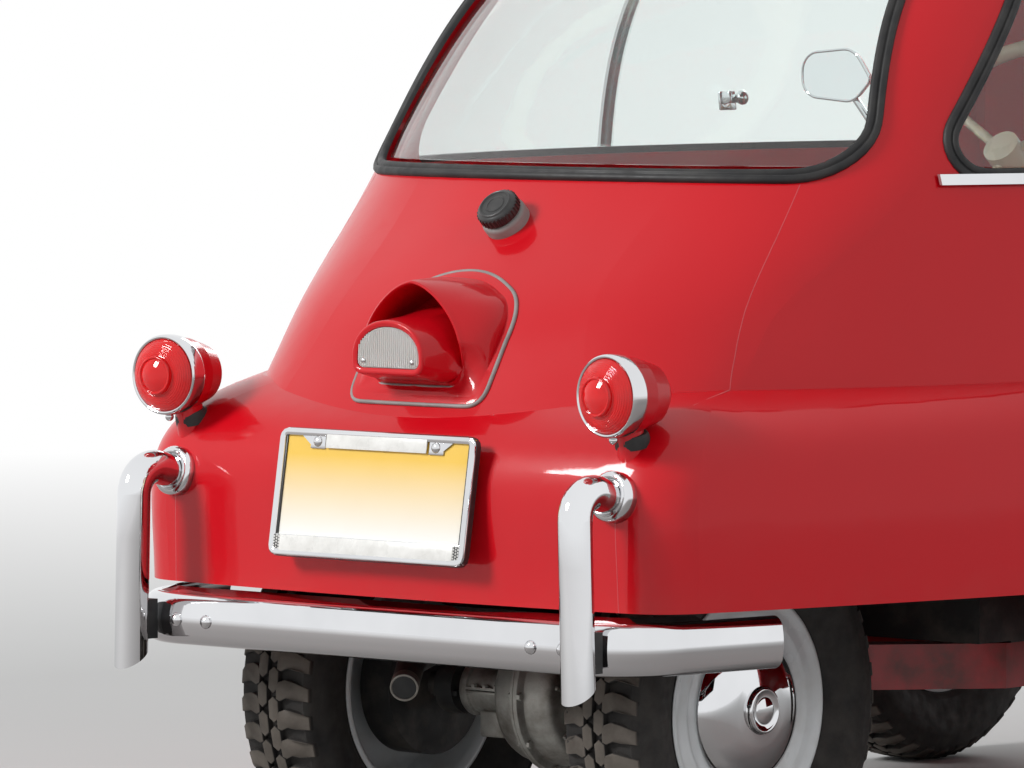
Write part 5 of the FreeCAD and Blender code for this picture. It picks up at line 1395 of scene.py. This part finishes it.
def makeChainCase():
    mesh = bmesh.new()
    skin(mesh, [[Vector((x, *p)) for p in evenly(caseLine(extra), 96)] for x, extra in caseLook["rows"]], (0, -1))
    for point in evenly(caseLine(0.0052), caseLook["bolts"]):
        for x, side in ((-0.0195, -1), (-0.0080, 1)):
            turned(mesh, caseLook["bolt"], 6, False, along((side, 0, 0), (x, *point)))
    y, z, _ = caseLook["rear"]
    for k in range(caseLook["fins"]):
        turn = Matrix.Translation((0, y, z)) @ Matrix.Rotation(math.radians(k * 51.4 + 12), 4, "X")
        block(mesh, (-0.0635, 0.040, -0.0026), (-0.0540, 0.074, 0.0026), 0.0012, turn)
        block(mesh, (0.0270, 0.040, -0.0026), (0.0372, 0.074, 0.0026), 0.0012, turn)
    for k in range(4):
        back, rise = y - 0.110 - 0.030 * k, 0.175 + 0.022 * k
        block(mesh, (-0.0480 + 0.0005 * k, back - 0.005, rise), (0.022, back, rise + 0.024), 0.001)
    block(mesh, (-0.0520, 0.4385, 0.2815), (0.0260, 0.557, 0.3505), 0.004)
    for side, start in ((-1, -0.060), (1, 0.034)):
        turned(mesh, caseLook["casing"], 48, matrix=along((side, 0, 0), (start, y, z)))
        low, high = sorted((start + side * 0.020, start + side * 0.080))
        for back in (1, -1):
            rib = y + back * 0.034
            for lift in (0.0006, -0.0046):
                block(mesh, (low, rib - 0.005, z + lift), (high, rib + 0.005, z + lift + 0.004), 0.0008)
            for share in (0.2, 0.5, 0.8):
                place = (low + (high - low) * share, y + back * 0.0355, z + 0.0045)
                turned(mesh, caseLook["stud"], 6, False, along((0, 0, 1), place))
        block(mesh, (low + 0.004, y - 0.024, z - 0.058), (high - 0.010, y + 0.024, z - 0.026), 0.003)
    finishPiece("chainCase", mesh, "castAluminium", "root", ["chain_case"])


makeChainCase()

# End of the tail pipe: rolled lip, and a black disc across its mouth for soot and painted shade of the pipe's inside
tailPipeLook = {"end": (0.040, 1.012, 0.262), "before": (0.086, 0.947, 0.285), "radius": 0.017}


def makeTailPipe():
    end, radius = Vector(tailPipeLook["end"]), tailPipeLook["radius"]
    matrix = along(end - Vector(tailPipeLook["before"]), end)
    lip, sootAndShadeDisc = bmesh.new(), bmesh.new()
    inner, outer = radius - 0.0022, radius + 0.0005
    turned(lip, [(inner, -0.002), (inner, 0.0016), (radius - 0.0010, 0.0024), (radius + 0.0003, 0.0018),
                 (outer, -0.014), (radius - 0.0010, -0.015)], 40, matrix=matrix)
    # A black disc closes the mouth: soot, and painted shade of the pipe's inside
    turned(sootAndShadeDisc, [(0.0, 0.0004), (radius - 0.0020, 0.0004), (radius - 0.0020, -0.002)], 40, False, matrix)
    finishPiece("tailPipeLip", lip, "castAluminium", "root")
    finishPiece("tailPipeSootAndShade", sootAndShadeDisc, "blackRubber", "root")


makeTailPipe()

# Catches on the sliding panes
catchLook = {
    "y": -0.262, "z": 0.944,
    "knob": ((0.0, 0.030), (0.0072, 0.0292), (0.0098, 0.0265), (0.0102, 0.0225), (0.0085, 0.0185), (0.0062, 0.0160),
             (0.0058, 0.0040), (0.0058, 0.002)),
}


def makeCatches():
    mesh = bmesh.new()
    panes = surfaceOf("side_windows")
    for side in (1, -1):
        place, _ = hitFrom(panes, (0, catchLook["y"], catchLook["z"]), (side, 0, 0))
        if place is None:
            continue
        matrix = along((-side, 0, 0.12), place)
        block(mesh, (0.0, -0.017, -0.013), (0.0045, 0.017, 0.013), 0.0016, matrix)
        turned(mesh, catchLook["knob"], 24, False, matrix @ Matrix.Translation((0, 0.007, 0.002)))
        block(mesh, (0.0040, -0.0150, -0.0050), (0.0200, -0.0080, 0.0120), 0.0022, matrix)
    bmesh.ops.recalc_face_normals(mesh, faces=mesh.faces)
    finishPiece("paneCatches", mesh, "chrome", "root")


makeCatches()
print("chain case and catches")

# Stage
stageLook = {
    "floorSize": 90.0, "floorColour": (0.60, 0.60, 0.59), "floorRange": 0.97, "fadeFrom": 2.4, "fadeTo": 7.5,
    "fadeMiddle": (0.0, -0.6, 0.0), "sky": (0.93, 0.95, 0.98, 1), "skyLight": 0.42,
    "lamps": (  # name, place, target, size, power, seen in reflections
        ("keyLamp", (3.4, 7.6, 5.0), (0, 0.4, 0.6), (2.2, 2.2), 600, True),
        ("sideLamp", (-8.0, 2.0, 5.0), (0, 0.2, 0.6), (4.5, 3.0), 150, False),
        ("frontLamp", (3.0, -7.5, 4.5), (0, -0.4, 0.7), (4.0, 3.0), 240, True),
    ),
}


def addNode(tree, kind, inputs, **settings):
    # Inputs are values, or outputs of other nodes
    node = tree.nodes.new(kind)
    for name, value in settings.items():
        setattr(node, name, value)
    for socket, value in inputs.items():
        if isinstance(value, bpy.types.NodeSocket):
            tree.links.new(value, node.inputs[socket])
        else:
            node.inputs[socket].default_value = value
    return node.outputs[0]


def seenRays(tree):
    # 1 for rays from the camera, through glass and off bright metal
    rays = tree.nodes.new("ShaderNodeLightPath").outputs
    seen = rays["Is Camera Ray"]
    for kind in ("Is Transmission Ray", "Is Glossy Ray"):
        seen = addNode(tree, "ShaderNodeMath", {0: seen, 1: rays[kind]}, operation="MAXIMUM")
    return seen


def makeFloor():
    mesh = bmesh.new()
    bmesh.ops.create_grid(mesh, x_segments=1, y_segments=1, size=stageLook["floorSize"] / 2)
    floor = newObject("floor", mesh)
    finish = Finish("floorPale", {"Roughness": 0.9, "Specular IOR Level": 0.1})
    near = tuple(channel * stageLook["floorRange"] for channel in stageLook["floorColour"])
    finish.colour(finish.mixed(finish.noise(0.8, 3), stageLook["floorColour"], near))
    distance = finish.add("ShaderNodeVectorMath", operation="DISTANCE")
    distance.inputs[1].default_value = stageLook["fadeMiddle"]
    finish.link(finish.coordinates.outputs["Object"], distance.inputs[0])
    far = finish.spread(distance.outputs["Value"], stageLook["fadeFrom"], stageLook["fadeTo"], 0, 1)
    glow = addNode(finish.tree, "ShaderNodeEmission", {})
    blend = {"Fac": finish.joined(far, seenRays(finish.tree)), 1: finish.shader.outputs[0], 2: glow}
    surface = addNode(finish.tree, "ShaderNodeMixShader", blend)
    finish.link(surface, finish.tree.nodes["Material Output"].inputs["Surface"])
    floor.data.materials.append(finish.material)


def makeLamp(name, place, target, size, power, glossy):
    lamp = bpy.data.lights.new(name, "AREA")
    lamp.shape = "RECTANGLE"
    lamp.size, lamp.size_y = size
    lamp.energy = power
    holder = bpy.data.objects.new(name, lamp)
    holder.matrix_world = looking(place, Vector(target) - Vector(place))
    holder.visible_glossy = glossy
    scene.collection.objects.link(holder)


def makeWorld():
    # A pale sky gives the light; what is seen of it is white
    world = bpy.data.worlds.new("studio")
    world.use_nodes = True
    tree = world.node_tree
    background = tree.nodes["Background"]
    background.inputs["Color"].default_value = stageLook["sky"]
    background.inputs["Strength"].default_value = stageLook["skyLight"]
    white = addNode(tree, "ShaderNodeBackground", {"Color": (1, 1, 1, 1), "Strength": 1.0})
    surface = addNode(tree, "ShaderNodeMixShader", {"Fac": seenRays(tree), 1: background.outputs[0], 2: white})
    tree.links.new(surface, tree.nodes["World Output"].inputs["Surface"])
    scene.world = world


cameraLook = {"place": (-5.930, 7.725, 1.125), "direction": (0.6527, -0.7556, -0.0553), "lens": 263.5, "sensor": 36}


def looking(place, direction):
    return Matrix.Translation(place) @ Vector(direction).to_track_quat("-Z", "Y").to_matrix().to_4x4()


def makeCamera():
    camera = bpy.data.cameras.new("photoView")
    camera.lens = cameraLook["lens"]
    camera.sensor_width = cameraLook["sensor"]
    camera.clip_end = 200
    holder = bpy.data.objects.new("photoView", camera)
    holder.matrix_world = looking(cameraLook["place"], cameraLook["direction"])
    scene.collection.objects.link(holder)
    scene.camera = holder


makeFloor()
for lampRow in stageLook["lamps"]:
    makeLamp(*lampRow)
makeWorld()
makeCamera()
scene.view_settings.view_transform = "Standard"
print("stage, lamps and camera")
